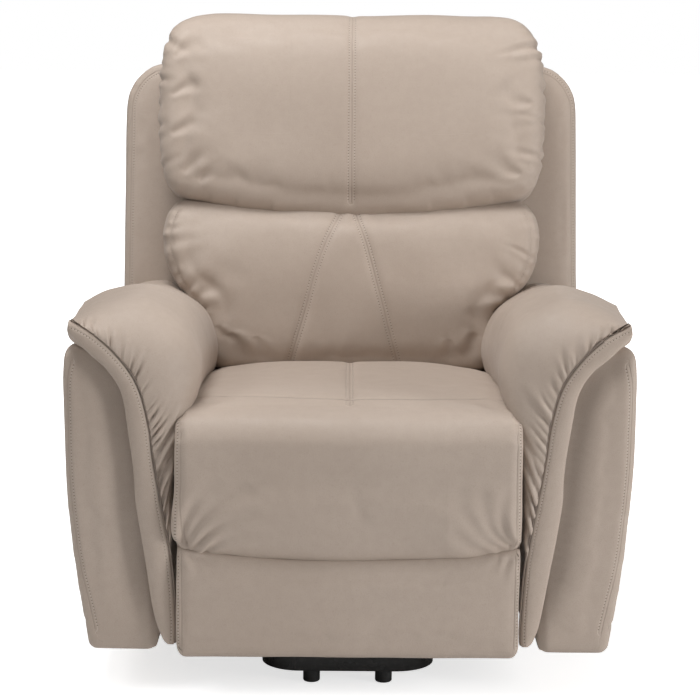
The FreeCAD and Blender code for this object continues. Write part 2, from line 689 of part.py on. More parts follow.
def arm_solid(outline, front_y, rear_y=400.0):
    """The front outline drawn back along the arm's fall, then cut to the arm's side view."""
    wire = Part.makePolygon([V(px, front_y, pz) for px, pz in outline + outline[:1]])
    depth = rear_y - front_y
    drawn = Part.Face(wire).extrude(V(0, depth, -depth * ARM_FALL))
    return drawn.common(arm_side(front_y)).removeSplitter()


FRAME_INSET = [(316, 100), (396, 100), (414, 200), (424, 330), (426, 478), (346, 478), (316, 440)]
FRAME_HOLLOW = [(330, 114), (384, 114), (400, 200), (410, 330), (412, 464), (352, 464), (330, 436)]
FRAME_Y = (ARM_FRONT_Y + 22, 150.0)
POCKET_Y = (-70.0, 84.0)
POCKET_Z = (228.0, 478.0)
POCKET_INNER_X = 428.5


def arm_frame():
    """A timber box inside the arm."""
    frame = front_plate(FRAME_INSET, FRAME_Y)
    return frame.cut(front_plate(FRAME_HOLLOW, (FRAME_Y[0] + 16, FRAME_Y[1] - 16)))


def arm_cover():
    """The padded cover around the arm's frame."""
    room = front_plate(FRAME_INSET, (FRAME_Y[0] - 0.5, FRAME_Y[1] + 0.5))
    return arm_solid(ARM_BODY, ARM_FRONT_Y).cut(room)


def pocket_room():
    return box((POCKET_INNER_X, 460), POCKET_Y, POCKET_Z)


def arm_pad():
    """The roll on top and the padding inside the arm, left open below the seat for the brackets."""
    opening = box((240, 299), (-380, 400), (0, 268)).fuse(box((240, 299), (-480, 400), (0, 92)))
    over_seat = side_plate([(-480, 300), (-480, 476), (-100, 476), (150, 431), (400, 386), (400, 300)],
                           (200, ARM_INNER_X - 2))
    return arm_solid(ARM_PAD, ARM_FRONT_Y).cut(opening).cut(over_seat).removeSplitter()


def arm_facing():
    return front_plate(ARM_FACING, (ARM_FRONT_Y - 18, ARM_FRONT_Y - 0.5))


def arm_brackets():
    """Angles that bolt the arms to the side plates."""
    parts = []
    for y in (-130, 96):
        angle = box((225, 229), (y, y + 34), (215, 262)).fuse(box((225, 299), (y, y + 34), (215, 219)))
        angle = angle.fuse(box((295, 299), (y, y + 34), (215, 262)))
        parts += [angle.removeSplitter(), mirrored(angle).removeSplitter()]
    return Part.makeCompound(parts)


def rear_skirt():
    """A covered board that closes the opening below the back."""
    return rounded(box((-284, 284), (288, 300), (92, 258)), 4.0, along("x", 100))


def skirt_battens():
    """Timber battens that join the rear skirt to the arms' sides."""
    batten = box((284.5, 299.5), (262, 300), (96, 254))
    return both_sides(batten)


# ---- handset and its pocket, on the +X arm ----
HANDSET_Y = (-18.0, 34.0)
HANDSET_Z = (240.0, 390.0)
HANDSET_X = (430.0, 442.0)
BUTTON_PLACES = {"lift_button": (-4.0, 366.0), "lower_button": (20.0, 366.0),
                 "recline_button": (-4.0, 342.0), "upright_button": (20.0, 342.0)}


def pocket_panel():
    """The pouch's outer face, sewn to the arm along three sides."""
    return box((442.6, ARM_OUTER_X), (POCKET_Y[0] + 1, POCKET_Y[1] - 1), (POCKET_Z[0] + 1, 330))


def handset_body():
    shell = rounded(box(HANDSET_X, HANDSET_Y, HANDSET_Z), 5.0, along("x"))
    for y, z in BUTTON_PLACES.values():
        well = Part.makeCylinder(9.0, 6, V(HANDSET_X[1] - 4, y, z), V(1, 0, 0))
        shell = shell.cut(well)
    return shell


def handset_button(y, z):
    """Rests 1.2 mm above the floor of its well, which is its travel."""
    cap = Part.makeCylinder(8.6, 3.6, V(HANDSET_X[1] - 2.6, y, z), V(1, 0, 0))
    top = [e for e in cap.Edges if e.CenterOfMass.x > HANDSET_X[1] + 0.5 and e.Length > 50]
    return cap.makeFillet(0.8, top)


def handset_cord():
    """The lead inside the pocket, from the handset's foot to the pocket's floor."""
    return Part.makeCylinder(2.5, HANDSET_Z[0] - POCKET_Z[0] - 1, V(436, 8, POCKET_Z[0] + 0.5))


def build():
    os.makedirs("parts", exist_ok=True)
    save("base_frame", base_frame())
    save("base_brackets", Part.makeCompound([base_brackets(), lift_motor_bracket()]))
    save("front_feet", feet([(FRONT_FOOT_X, BASE_FRONT_Y + 20)], 13.6))
    save("wide_feet", feet([(WIDE_FOOT_X, 95), (WIDE_FOOT_X, 281)], 15.0))
    save("base_pivot_pins", base_pins())
    save("power_supply", power_supply())
    save("front_lift_links", front_lift_links())
    save("rear_lift_links", rear_lift_links())
    lift = actuator(LIFT_MOTOR_TAIL, LIFT_ROD_END, 0, LIFT_SIZES)
    recline = actuator(RECLINE_MOTOR_TAIL, RECLINE_ROD_END, 70, RECLINE_SIZES)
    leg = actuator(LEG_MOTOR_TAIL, LEG_ROD_END, -70, SMALL_SIZES)
    for name, pieces in (("lift", lift), ("recline", recline), ("leg", leg)):
        for part_name, shape in zip(("motor", "actuator_tube", "rod"), pieces):
            save(f"{name}_{part_name}", shape)
    save("lift_frame", lift_frame())
    save("frame_pins", Part.makeCompound([lift_frame_pins(), motor_tail_pins(), recline_pins()]))
    save("side_plates", side_plates())
    save("side_plate_bolts", Part.makeCompound([side_plate_spacers(), side_plate_bolts()]))
    save("seat_frame", seat_frame())
    save("seat_springs", seat_springs())
    save("seat_cushion", seat_cushion())
    save("leg_hinge_posts", hinge_fixed())
    save("leg_hinge_straps", hinge_moving())
    save("leg_board", leg_board())
    save("leg_brackets", leg_brackets())
    save("calf_pad", calf_pad())
    save("foot_pad", foot_pad())
    save("crank_shaft", crank_shaft())
    save("crank_pins", crank_pins())
    save("leg_links", leg_links())
    save("back_shell", lean(back_shell()))
    save("back_frame", lean(back_frame()))
    save("back_posts", lean(back_posts()))
    save("back_webbing", lean(back_webbing()))
    save("recline_lever", recline_lever())
    save("lumbar_cushion", lean(lumbar_cushion()))
    save("head_cushion", lean(head_cushion()))
    save("arm_cover_left", arm_cover().cut(pocket_room()))
    save("arm_cover_right", mirrored(arm_cover()))
    for side, place in (("left", lambda s: s), ("right", mirrored)):
        save(f"arm_frame_{side}", place(arm_frame()))
        save(f"arm_pad_{side}", place(arm_pad()))
        save(f"arm_facing_{side}", place(arm_facing()))
    save("arm_brackets", arm_brackets())
    save("rear_skirt", rear_skirt())
    save("skirt_battens", skirt_battens())
    save("pocket_panel", pocket_panel())
    save("handset", handset_body())
    for name, (y, z) in BUTTON_PLACES.items():
        save(name, handset_button(y, z))
    save("handset_cord", handset_cord())


build()
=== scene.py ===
"""Looks of the lift recliner chair: leather cushions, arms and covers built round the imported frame.

Numbers in outlines are millimetres in the chair's design frame, where the recline pivot, the seat and
the leg rest were laid out. to_frame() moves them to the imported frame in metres. The back's pieces are
drawn upright, as (across, depth, height) from the recline pivot, and then leant back.
"""

import json
import math
import random

import bmesh
import bpy
import numpy as np
from mathutils import Matrix, Vector, noise
from mathutils.bvhtree import BVHTree


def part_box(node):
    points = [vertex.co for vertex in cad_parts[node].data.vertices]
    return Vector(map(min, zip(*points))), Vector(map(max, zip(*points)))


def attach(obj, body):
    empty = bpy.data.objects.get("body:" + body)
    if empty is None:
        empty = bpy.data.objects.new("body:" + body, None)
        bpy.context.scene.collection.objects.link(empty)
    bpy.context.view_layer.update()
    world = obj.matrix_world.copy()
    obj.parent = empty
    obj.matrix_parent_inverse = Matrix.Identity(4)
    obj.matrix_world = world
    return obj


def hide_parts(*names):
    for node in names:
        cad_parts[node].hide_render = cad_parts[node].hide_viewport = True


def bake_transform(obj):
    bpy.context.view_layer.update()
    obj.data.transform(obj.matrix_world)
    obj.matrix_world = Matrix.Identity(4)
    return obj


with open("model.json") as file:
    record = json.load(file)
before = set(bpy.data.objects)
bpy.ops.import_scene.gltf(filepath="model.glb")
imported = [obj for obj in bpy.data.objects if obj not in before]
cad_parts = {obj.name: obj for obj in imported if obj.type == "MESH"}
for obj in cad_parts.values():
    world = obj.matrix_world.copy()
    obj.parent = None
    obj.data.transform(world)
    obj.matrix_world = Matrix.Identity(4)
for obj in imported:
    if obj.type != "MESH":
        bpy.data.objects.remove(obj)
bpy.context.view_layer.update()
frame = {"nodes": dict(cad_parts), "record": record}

MM = 0.001
LEG_FRONT_Y = -485.0  # the calf pad's front in the design frame
SHIFT_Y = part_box("calf_pad")[0].y / MM - LEG_FRONT_Y
PIVOT_Y, PIVOT_Z = 215.0, 300.0  # the recline pivot
BACK_LEAN = math.radians(15.0)
ARM_FRONT_Y = -456.0
ARM_FALL = 0.1  # how steeply the arm's top falls towards the back
ARM_FOOT_Z = 77.0
SHOULDER = 100.0  # radius of the arm's round rear end about the pivot
SEAT_HALF = 268.0
LEG_REST_HALF = 267.5
SIDE_ROW = 259.0  # the stitched rows near the leg rest's edges

TO_REAR, TO_FRONT = (0, 1, 0), (0, -1, 0)
DOWN, UP = (0, 0, -1), (0, 0, 1)
TO_CENTRE = (-1, 0, 0)
ABOVE, AHEAD, ASIDE = 800, -800, 900  # where paths start before they are dropped onto a piece
SIDES = (("left", 1), ("right", -1))
WHITE = (1.0, 1.0, 1.0, 1.0)

scene = bpy.context.scene


# ---- points and meshes
def points_of(obj):
    flat = np.empty(len(obj.data.vertices) * 3)
    obj.data.vertices.foreach_get("co", flat)
    return flat.reshape(-1, 3) / MM


def set_points(obj, points):
    obj.data.vertices.foreach_set("co", (points * MM).ravel())
    obj.data.update()


def normals_of(obj):
    flat = np.empty(len(obj.data.vertices) * 3, np.float32)
    obj.data.vertex_normals.foreach_get("vector", flat)
    return flat.reshape(-1, 3).astype(float)


def new_piece(name, points, faces):
    mesh = bpy.data.meshes.new(name)
    mesh.from_pydata([tuple(p) for p in np.asarray(points, float) * MM], [], faces)
    shape = bmesh.new()
    shape.from_mesh(mesh)
    bmesh.ops.recalc_face_normals(shape, faces=shape.faces)
    shape.to_mesh(mesh)
    shape.free()
    obj = bpy.data.objects.new(name, mesh)
    scene.collection.objects.link(obj)
    return obj


def bake(obj):
    """Applies every modifier."""
    graph = bpy.context.evaluated_depsgraph_get()
    mesh = bpy.data.meshes.new_from_object(obj.evaluated_get(graph))
    old = obj.data
    obj.modifiers.clear()
    obj.data = mesh
    bpy.data.meshes.remove(old)


def to_frame(obj):
    points = points_of(obj)
    points[:, 1] += SHIFT_Y
    set_points(obj, points)


def lean_back(obj):
    """Turns an upright back piece to the back's lean about the recline pivot."""
    c, s = math.cos(BACK_LEAN), math.sin(BACK_LEAN)
    p = points_of(obj)
    y = PIVOT_Y + p[:, 1] * c + p[:, 2] * s
    z = PIVOT_Z - p[:, 1] * s + p[:, 2] * c
    set_points(obj, np.stack([p[:, 0], y, z], 1))


def rounded_outline(points, times=3):
    """Cuts the corners off a closed outline again and again."""
    points = np.array(points, float)
    for _ in range(times):
        following = np.roll(points, -1, 0)
        points = np.stack([points * 0.75 + following * 0.25, points * 0.25 + following * 0.75], 1)
        points = points.reshape(-1, points.shape[-1])
    return points


def mirrored_outline(half):
    """A closed outline from its right half, listed from the bottom up."""
    return list(half) + [(-x, z) for x, z in reversed(half) if x]


def curve_through(points, count):
    """Evenly numbered points on a Catmull-Rom curve through the given ones."""
    p = np.array(points, float)
    p = np.vstack([2 * p[0] - p[1], p, 2 * p[-1] - p[-2]])
    t = np.linspace(0, len(points) - 1, count)
    i = np.minimum(t.astype(int), len(points) - 2)
    f = (t - i)[:, None]
    a, b, c, d = p[i], p[i + 1], p[i + 2], p[i + 3]
    return 0.5 * (2 * b + (c - a) * f + (2 * a - 5 * b + 4 * c - d) * f**2 + (3 * b - a - 3 * c + d) * f**3)


def smooth_step(low, high, x):
    t = np.clip((x - low) / (high - low), 0, 1)
    return t * t * (3 - 2 * t)


def rectangle(low_a, low_b, high_a, high_b):
    return [(low_a, low_b), (high_a, low_b), (high_a, high_b), (low_a, high_b)]


def cad_box(node):
    """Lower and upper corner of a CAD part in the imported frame, in millimetres."""
    return (np.array(corner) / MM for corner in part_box(node))


def ring_faces(rings, size):
    """Faces between neighbouring rings of points."""
    faces = []
    for j in range(rings - 1):
        for i in range(size):
            a, b = j * size + i, j * size + (i + 1) % size
            faces.append([a, b, b + size, a + size])
    return faces


def prism(name, outline, axis, low, high, fall=0.0):
    """A solid from an outline: (x, z) drawn along y, or (y, z) drawn along x. Its far end drops by fall."""
    def lift(point, level, drop):
        a, b = point
        return (level, a, b) if axis == "x" else (a, level, b - drop)

    n = len(outline)
    points = [lift(p, low, 0.0) for p in outline] + [lift(p, high, fall) for p in outline]
    faces = [list(range(n))[::-1], list(range(n, 2 * n))]
    faces += [[i, (i + 1) % n, n + (i + 1) % n, n + i] for i in range(n)]
    return new_piece(name, points, faces)


def combine(obj, other, operation):
    cut = obj.modifiers.new("combine", "BOOLEAN")
    cut.operation = operation
    cut.solver = "EXACT"
    cut.object = other
    bake(obj)
    bpy.data.objects.remove(other)


def even_mesh(obj, size, soften):
    """Remeshes a solid evenly and rounds its edges off."""
    remesh = obj.modifiers.new("even", "REMESH")
    remesh.mode = "VOXEL"
    remesh.voxel_size = size * MM
    smooth = obj.modifiers.new("soften", "SMOOTH")
    smooth.iterations = soften
    bake(obj)


def subdivide(obj):
    obj.modifiers.new("finer", "SUBSURF").levels = 1
    bake(obj)


LEAST_FILL = 0.6  # the foam holds the cover out at least this share of the cap
SLIDE = 0.4  # how much of the cover's sideways slip is kept
FILL_FRAMES = 20
CLOTH = {
    "quality": 4, "mass": 0.3, "tension_stiffness": 12, "compression_stiffness": 12, "shear_stiffness": 6,
    "bending_stiffness": 1.5, "shrink_min": -0.02, "use_pressure": True,
}


def swell(obj, pressure, cap, held=None):
    """Fills a closed cover: cloth under air pressure, with the points pinned where held(points) is true."""
    rest = points_of(obj)
    pinned = np.zeros(len(rest), bool) if held is None else held(rest)
    least = np.where(pinned, 0.0, LEAST_FILL * cap)
    if held is not None:
        group = obj.vertex_groups.new(name="pinned")
        group.add(np.flatnonzero(pinned).tolist(), 1.0, "REPLACE")
    cloth = obj.modifiers.new("filling", "CLOTH")
    settings = cloth.settings
    for key, value in CLOTH.items():
        setattr(settings, key, value)
    settings.uniform_pressure_force = pressure
    settings.effector_weights.gravity = 0
    if held is not None:
        settings.vertex_group_mass = "pinned"
    cloth.collision_settings.use_collision = False
    cloth.point_cache.frame_start = 1
    cloth.point_cache.frame_end = FILL_FRAMES
    for step in range(1, FILL_FRAMES + 1):
        scene.frame_set(step)
    graph = bpy.context.evaluated_depsgraph_get()
    filled = obj.evaluated_get(graph)
    flat = np.empty(len(filled.data.vertices) * 3)
    filled.data.vertices.foreach_get("co", flat)
    move = flat.reshape(-1, 3) / MM - rest
    normals = normals_of(obj)
    outward = (move * normals).sum(1)
    slip = SLIDE * (move - normals * outward[:, None])
    outward = np.maximum(cap * np.tanh(outward / cap), least)
    obj.modifiers.remove(cloth)
    obj.vertex_groups.clear()
    scene.frame_set(1)
    length = np.maximum(np.linalg.norm(slip, axis=1), 1e-6)
    slip *= (cap * np.tanh(length / cap) / length)[:, None]
    set_points(obj, rest + normals * outward[:, None] + slip)


# ---- seams, gathers and creases
ROW_OFFSET = 5.4  # from a seam to the stitches beside it
SEAM_REACH = 110.0  # how far from a seam its gathers are looked up
PATH_STEP = 6
FAR = 1e6


def drape(obj, path, direction):
    """Drops a path onto a piece along a direction, as closely spaced points."""
    path = np.array(path, float)
    length = np.linalg.norm(np.diff(path, axis=0), axis=1).sum()
    fine = curve_through(path, max(8, int(length / PATH_STEP)))
    shape = bmesh.new()
    shape.from_mesh(obj.data)
    tree = BVHTree.FromBMesh(shape)
    shape.free()
    way = Vector(direction).normalized()
    landed = []
    for p in fine:
        start = Vector(p) * MM - way * 0.5
        hit = tree.ray_cast(start, way)[0]
        if hit is None:
            hit = tree.find_nearest(Vector(p) * MM)[0]
        landed.append(np.array(hit) / MM)
    landed = np.array(landed)
    for _ in range(4):
        landed[1:-1] = (landed[:-2] + 2 * landed[1:-1] + landed[2:]) / 4
    return landed


def seam_coordinates(points, normals, path):
    """How far along a path, how far from it, and on which side of it each point lies."""
    low, high = path.min(0) - SEAM_REACH, path.max(0) + SEAM_REACH
    near = np.flatnonzero(((points > low) & (points < high)).all(1))
    p, n = points[near], normals[near]
    best = np.full(len(p), FAR)
    along = np.zeros(len(p))
    side = np.ones(len(p))
    run = 0.0
    for a, b in zip(path[:-1], path[1:]):
        step = b - a
        length = max(np.linalg.norm(step), 1e-6)
        raw = ((p - a) @ step) / length**2
        t = np.clip(raw, 0, 1)
        offset = p - (a + t[:, None] * step)
        distance = np.linalg.norm(offset, axis=1)
        closer = distance < best
        across = np.cross(step / length, n[closer])
        side[closer] = np.where((offset[closer] * across).sum(1) < 0, -1.0, 1.0)
        best[closer] = distance[closer]
        along[closer] = run + t[closer] * length
        run += length
    found = np.tile([0.0, FAR, 1.0], (len(points), 1))
    found[near] = np.stack([along, best, side], 1)
    return found.T


def gathers(seed, length, count, depth, reach, width):
    """Random folds that run away from a seam: (place, width, reach, depth, slant)."""
    draw = random.Random(seed)
    folds = []
    for i in range(count):
        place = length * (i + draw.uniform(0.1, 0.9)) / count
        folds.append((place, width * draw.uniform(0.6, 1.5), reach * draw.uniform(0.35, 1.25),
                      depth * draw.uniform(0.35, 1.2), draw.uniform(-0.5, 0.5)))
    return folds


def seam(path, style, depth, width, folds=()):
    """style: 0 a bare seam, 1 a row of stitches beside it, 2 a row on each side, 3 stitches along it."""
    return {"path": path, "style": style, "depth": depth, "width": width, "folds": folds}


def fold_profile(x):
    return -np.exp(-x**2) + 0.5 * np.exp(-(x - 1.7) ** 2) + 0.5 * np.exp(-(x + 1.7) ** 2)


CREASE_REACH = 75.0  # how far in front of or behind its start a crease still marks the piece
CREASE_BEND = 0.10
CREASE_PRESS = 1.25


def press_creases(points, creases):
    """Depth of free creases, each deep at its start (x, y, z) and fading out towards its end (x, z)."""
    total = np.zeros(len(points))
    for start, (end_x, end_z), width, depth in creases:
        step = np.array([end_x - start[0], 0.0, end_z - start[2]])
        length = np.linalg.norm(step)
        t = ((points - start) @ step) / length**2
        near = (t > 0) & (t < 1) & (np.abs(points[:, 1] - start[1]) < CREASE_REACH)
        t = t[near]
        side = np.array([-step[2], 0.0, step[0]]) / length
        signed = (points[near] - start) @ side - CREASE_BEND * length * np.sin(math.pi * t)
        profile = fold_profile(signed / (width * (0.6 + 1.2 * t)))
        total[near] += CREASE_PRESS * depth * profile * np.sin(math.pi * t**0.55)
    return total


def soft_waves(points, size, height, seed):
    """Slow unevenness of stuffed leather."""
    offset = Vector((seed * 7.3, seed * 3.1, seed * 5.7))
    return np.array([noise.noise(Vector(p) / size + offset) for p in points]) * height


def sew(obj, seams, creases, waves):
    """Presses seams, gathers, creases and soft waves (size, height, seed) into a piece.

    Each point's place on its nearest seam (along, signed distance, distance) and that seam's style are
    stored for the leather.
    """
    points, normals = points_of(obj), normals_of(obj)
    push = soft_waves(points, *waves) + press_creases(points, creases)
    nearest = np.tile([0.0, FAR, FAR, 0.0], (len(points), 1))
    for one in seams:
        along, distance, side = seam_coordinates(points, normals, one["path"])
        push -= one["depth"] * np.exp(-((distance / one["width"]) ** 2))
        for place, width, reach, depth, slant in one["folds"]:
            x = (along - place - slant * distance) / (width * (1 + 0.6 * distance / reach))
            fade = np.clip(1 - distance / reach, 0, 1) ** 1.3 * smooth_step(0.0, 5.0, distance)
            push += depth * fold_profile(x) * fade
        style = np.full(len(points), one["style"])
        closer = distance < nearest[:, 2]
        nearest[closer] = np.stack([along, distance * side, distance, style], 1)[closer]
    set_points(obj, points + normals * push[:, None])
    coordinates = obj.data.attributes.new("seam", "FLOAT_VECTOR", "POINT")
    coordinates.data.foreach_set("vector", nearest[:, :3].ravel())
    styles = obj.data.attributes.new("seam_style", "FLOAT", "POINT")
    styles.data.foreach_set("value", nearest[:, 3].copy())


# ---- materials
class Shader:
    """Short calls for building a node material."""

    def __init__(self, name):
        self.material = bpy.data.materials.new(name)
        self.material.use_nodes = True
        self.tree = self.material.node_tree
        self.surface = self.tree.nodes["Principled BSDF"]
        self.place = self.add("ShaderNodeTexCoord").outputs["Object"]

    def add(self, kind, **inputs):
        node = self.tree.nodes.new(kind)
        for key, value in inputs.items():
            self.feed(node.inputs[key.replace("_", " ")], value)
        return node

    def feed(self, socket, value):
        if isinstance(value, bpy.types.NodeSocket):
            self.tree.links.new(value, socket)
        else:
            socket.default_value = value

    def math(self, operation, a, b=0.0):
        node = self.tree.nodes.new("ShaderNodeMath")
        node.operation = operation
        for socket, value in zip(node.inputs, (a, b)):
            self.feed(socket, value)
        return node.outputs[0]

    def times(self, a, b):
        return self.math("MULTIPLY", a, b)

    def plus(self, a, b):
        return self.math("ADD", a, b)

    def minus(self, a, b):
        return self.math("SUBTRACT", a, b)

    def ramp(self, value, low, high, out_low=0.0, out_high=1.0):
        node = self.tree.nodes.new("ShaderNodeMapRange")
        node.interpolation_type = "SMOOTHSTEP"
        for socket, number in zip(node.inputs, (value, low, high, out_low, out_high)):
            self.feed(socket, number)
        return node.outputs[0]

    def fade(self, value, low, high):
        return self.ramp(value, low, high, 1.0, 0.0)

    def mix(self, factor, a, b):
        node = self.tree.nodes.new("ShaderNodeMix")
        node.data_type = "RGBA"
        self.feed(node.inputs[0], factor)
        self.feed(node.inputs[6], a)
        self.feed(node.inputs[7], b)
        return node.outputs[2]

    def noise(self, scale, detail=2.0, stretch=None):
        place = self.place
        if stretch:
            place = self.add("ShaderNodeMapping", Vector=place, Scale=stretch).outputs[0]
        return self.add("ShaderNodeTexNoise", Vector=place, Scale=scale, Detail=detail).outputs["Fac"]

    def cells(self, scale):
        node = self.add("ShaderNodeTexVoronoi", Vector=self.place, Scale=scale)
        node.feature = "DISTANCE_TO_EDGE"
        return node.outputs["Distance"]

    def attribute(self, name):
        node = self.tree.nodes.new("ShaderNodeAttribute")
        node.attribute_name = name
        return node

    def pointiness(self):
        return self.add("ShaderNodeNewGeometry").outputs["Pointiness"]

    def bump(self, height, distance):
        """Raises the surface by height times distance in metres."""
        node = self.add("ShaderNodeBump", Height=height, Distance=distance)
        self.tree.links.new(node.outputs[0], self.surface.inputs["Normal"])

    def finish(self, color, roughness, metallic=0.0, **others):
        self.feed(self.surface.inputs["Base Color"], color)
        self.feed(self.surface.inputs["Roughness"], roughness)
        self.feed(self.surface.inputs["Metallic"], metallic)
        for key, value in others.items():
            self.feed(self.surface.inputs[key.replace("_", " ")], value)
        return self.material


LEATHER = (0.420, 0.340, 0.281, 1.0)
# paler leather: used for the random tone, and as painted highlight on sharp edges and ridges
LEATHER_LIGHT = (0.475, 0.394, 0.333, 1.0)
LEATHER_DARK = (0.330, 0.258, 0.207, 1.0)
THREAD = (0.52, 0.435, 0.368, 1.0)
# painted shade: the colour laid into concave creases, seam grooves and stitch holes
CREVICE_SHADE = (0.105, 0.075, 0.056, 1.0)
STITCH_PITCH = 5.2
THREAD_EDGE = (0.5, 1.35)  # from a row's middle, where its thread begins and ends to fade


def leather(name):
    """Smooth taupe leather with fine grain and stitched seams, lighter on sharp edges as wear and painted
    highlight, with painted shade in its creases, seam grooves and stitch holes.
    """
    s = Shader(name)
    tone = s.ramp(s.noise(2.6, 4.0), 0.35, 0.65)
    mottle = s.ramp(s.noise(70.0, 5.0), 0.32, 0.68)
    color = s.mix(tone, LEATHER, s.mix(0.4, LEATHER, LEATHER_LIGHT))
    color = s.mix(s.times(mottle, 0.13), color, LEATHER_DARK)
    pores = s.ramp(s.cells(430.0), 0.0, 0.10)
    color = s.mix(s.times(s.minus(1.0, pores), 0.36), color, LEATHER_DARK)
    sharp = s.pointiness()
    # sharp edges and ridges made lighter: partly wear, partly painted highlight
    color = s.mix(s.ramp(sharp, 0.50, 0.58, 0.0, 0.45), color, LEATHER_LIGHT)
    # painted shade in concave creases and hollows
    color = s.mix(s.ramp(sharp, 0.42, 0.495, 0.38, 0.0), color, CREVICE_SHADE)

    split = s.add("ShaderNodeSeparateXYZ", Vector=s.attribute("seam").outputs["Vector"])
    along, signed, away = split.outputs
    style = s.attribute("seam_style").outputs["Fac"]
    groove = s.fade(s.math("ABSOLUTE", signed), 0.4, 1.6)
    groove = s.times(groove, s.fade(away, 6.0, 12.0))
    past_bare, past_single, on_line = (s.ramp(style, n - 0.1, n + 0.1) for n in (0.5, 1.5, 2.5))
    on_double = s.minus(past_single, on_line)
    on_single = s.minus(past_bare, past_single)
    groove = s.times(groove, s.minus(1.0, on_line))
    double = s.fade(s.math("ABSOLUTE", s.minus(away, ROW_OFFSET)), *THREAD_EDGE)
    single = s.fade(s.math("ABSOLUTE", s.minus(signed, ROW_OFFSET)), *THREAD_EDGE)
    line = s.fade(away, *THREAD_EDGE)
    row = s.plus(s.times(double, on_double), s.times(single, on_single))
    row = s.plus(row, s.times(line, on_line))
    beat = s.math("SINE", s.times(along, 2 * math.pi / STITCH_PITCH))
    thread = s.times(row, s.ramp(beat, -0.55, -0.1))
    holes = s.times(row, s.fade(beat, -0.9, -0.5))
    bare = s.ramp(style, 0.4, 0.6, 0.75, 0.16)
    # painted shade in each seam's groove, strongest on bare seams
    color = s.mix(s.times(groove, bare), color, CREVICE_SHADE)
    color = s.mix(s.times(thread, 0.6), color, THREAD)
    # painted shade in the stitch holes between the threads
    color = s.mix(s.times(holes, 0.8), color, CREVICE_SHADE)

    near_seam = s.fade(away, 1.0, ROW_OFFSET + 2.5)
    height = s.times(groove, -0.5)
    height = s.plus(height, s.times(thread, 0.35))
    height = s.minus(height, s.times(row, 0.6))
    height = s.plus(height, s.times(near_seam, 0.35))
    grain = s.plus(s.times(pores, 0.10), s.times(s.noise(900.0, 2.0), 0.14))
    grain = s.plus(grain, s.times(s.noise(46.0, 3.0), 0.28))
    s.bump(s.plus(height, grain), MM)
    roughness = s.ramp(s.noise(30.0, 4.0), 0.3, 0.7, 0.50, 0.62)
    return s.finish(color, roughness, Specular_IOR_Level=0.42, Sheen_Weight=0.12, Sheen_Roughness=0.4)


def painted_steel(name, color, light, rough):
    s = Shader(name)
    speckle = s.ramp(s.noise(160.0, 4.0), 0.45, 0.75, 0.0, 0.5)
    worn = s.ramp(s.pointiness(), 0.53, 0.62, 0.0, 0.55)
    shade = s.mix(s.plus(speckle, worn), color, light)
    s.bump(s.noise(420.0, 2.0), MM * 0.12)
    roughness = s.ramp(s.noise(18.0, 3.0), 0.3, 0.7, rough, rough + 0.14)
    return s.finish(shade, roughness, Specular_IOR_Level=0.25, Coat_Weight=0.06, Coat_Roughness=0.12)


def bright_steel(name, color, light):
    s = Shader(name)
    streak = s.noise(60.0, 5.0, (1.0, 9.0, 9.0))
    shade = s.mix(s.ramp(streak, 0.35, 0.7), color, light)
    s.bump(streak, MM * 0.05)
    return s.finish(shade, s.ramp(streak, 0.3, 0.7, 0.24, 0.42), 1.0)


def moulded(name, color, light, rough, grain):
    s = Shader(name)
    shade = s.mix(s.ramp(s.noise(9.0, 4.0), 0.3, 0.7, 0.0, 0.6), color, light)
    shade = s.mix(s.ramp(s.pointiness(), 0.52, 0.60, 0.0, 0.5), shade, light)
    s.bump(s.cells(grain), MM * 0.25)
    return s.finish(shade, s.ramp(s.noise(50.0, 2.0), 0.3, 0.7, rough, rough + 0.12))


def sawn_wood(name):
    s = Shader(name)
    rings = s.noise(16.0, 6.0, (1.0, 1.0, 7.0))
    fibre = s.noise(220.0, 3.0, (0.15, 1.0, 1.0))
    shade = s.mix(s.ramp(rings, 0.35, 0.66), (0.56, 0.38, 0.21, 1), (0.74, 0.56, 0.36, 1))
    shade = s.mix(s.ramp(fibre, 0.4, 0.8, 0.0, 0.4), shade, (0.40, 0.26, 0.14, 1))
    s.bump(fibre, MM * 0.4)
    return s.finish(shade, s.ramp(fibre, 0.3, 0.7, 0.55, 0.75))


def strap_weave(name):
    s = Shader(name)
    split = s.add("ShaderNodeSeparateXYZ", Vector=s.place)
    warp = s.math("SINE", s.times(split.outputs[0], 2 * math.pi / (4 * MM)))
    weft = s.math("SINE", s.times(split.outputs[2], 2 * math.pi / (3 * MM)))
    weave = s.times(warp, weft)
    shade = s.mix(s.ramp(weave, -0.6, 0.6), (0.016, 0.016, 0.018, 1), (0.075, 0.072, 0.07, 1))
    s.bump(weave, MM * 0.4)
    return s.finish(shade, s.ramp(s.noise(40.0), 0.3, 0.7, 0.75, 0.92))


MATERIALS = {
    "black_steel": (painted_steel, (0.006, 0.0055, 0.005, 1), (0.018, 0.017, 0.016, 1), 0.16),
    "grey_steel": (painted_steel, (0.11, 0.115, 0.12, 1), (0.24, 0.245, 0.25, 1), 0.34),
    "zinc_steel": (bright_steel, (0.42, 0.43, 0.45, 1), (0.68, 0.69, 0.71, 1)),
    "spring_steel": (bright_steel, (0.16, 0.16, 0.17, 1), (0.34, 0.34, 0.35, 1)),
    "black_rubber": (moulded, (0.010, 0.010, 0.010, 1), (0.035, 0.034, 0.033, 1), 0.62, 900.0),
    "black_plastic": (moulded, (0.018, 0.018, 0.020, 1), (0.06, 0.06, 0.064, 1), 0.42, 1300.0),
    "grey_plastic": (moulded, (0.20, 0.20, 0.215, 1), (0.36, 0.36, 0.37, 1), 0.38, 1300.0),
    "timber": (sawn_wood,),
    "taupe_leather": (leather,),
    "black_fabric": (strap_weave,),
}
LOOKS = {slot: build(slot + "_look", *values) for slot, (build, *values) in MATERIALS.items()}


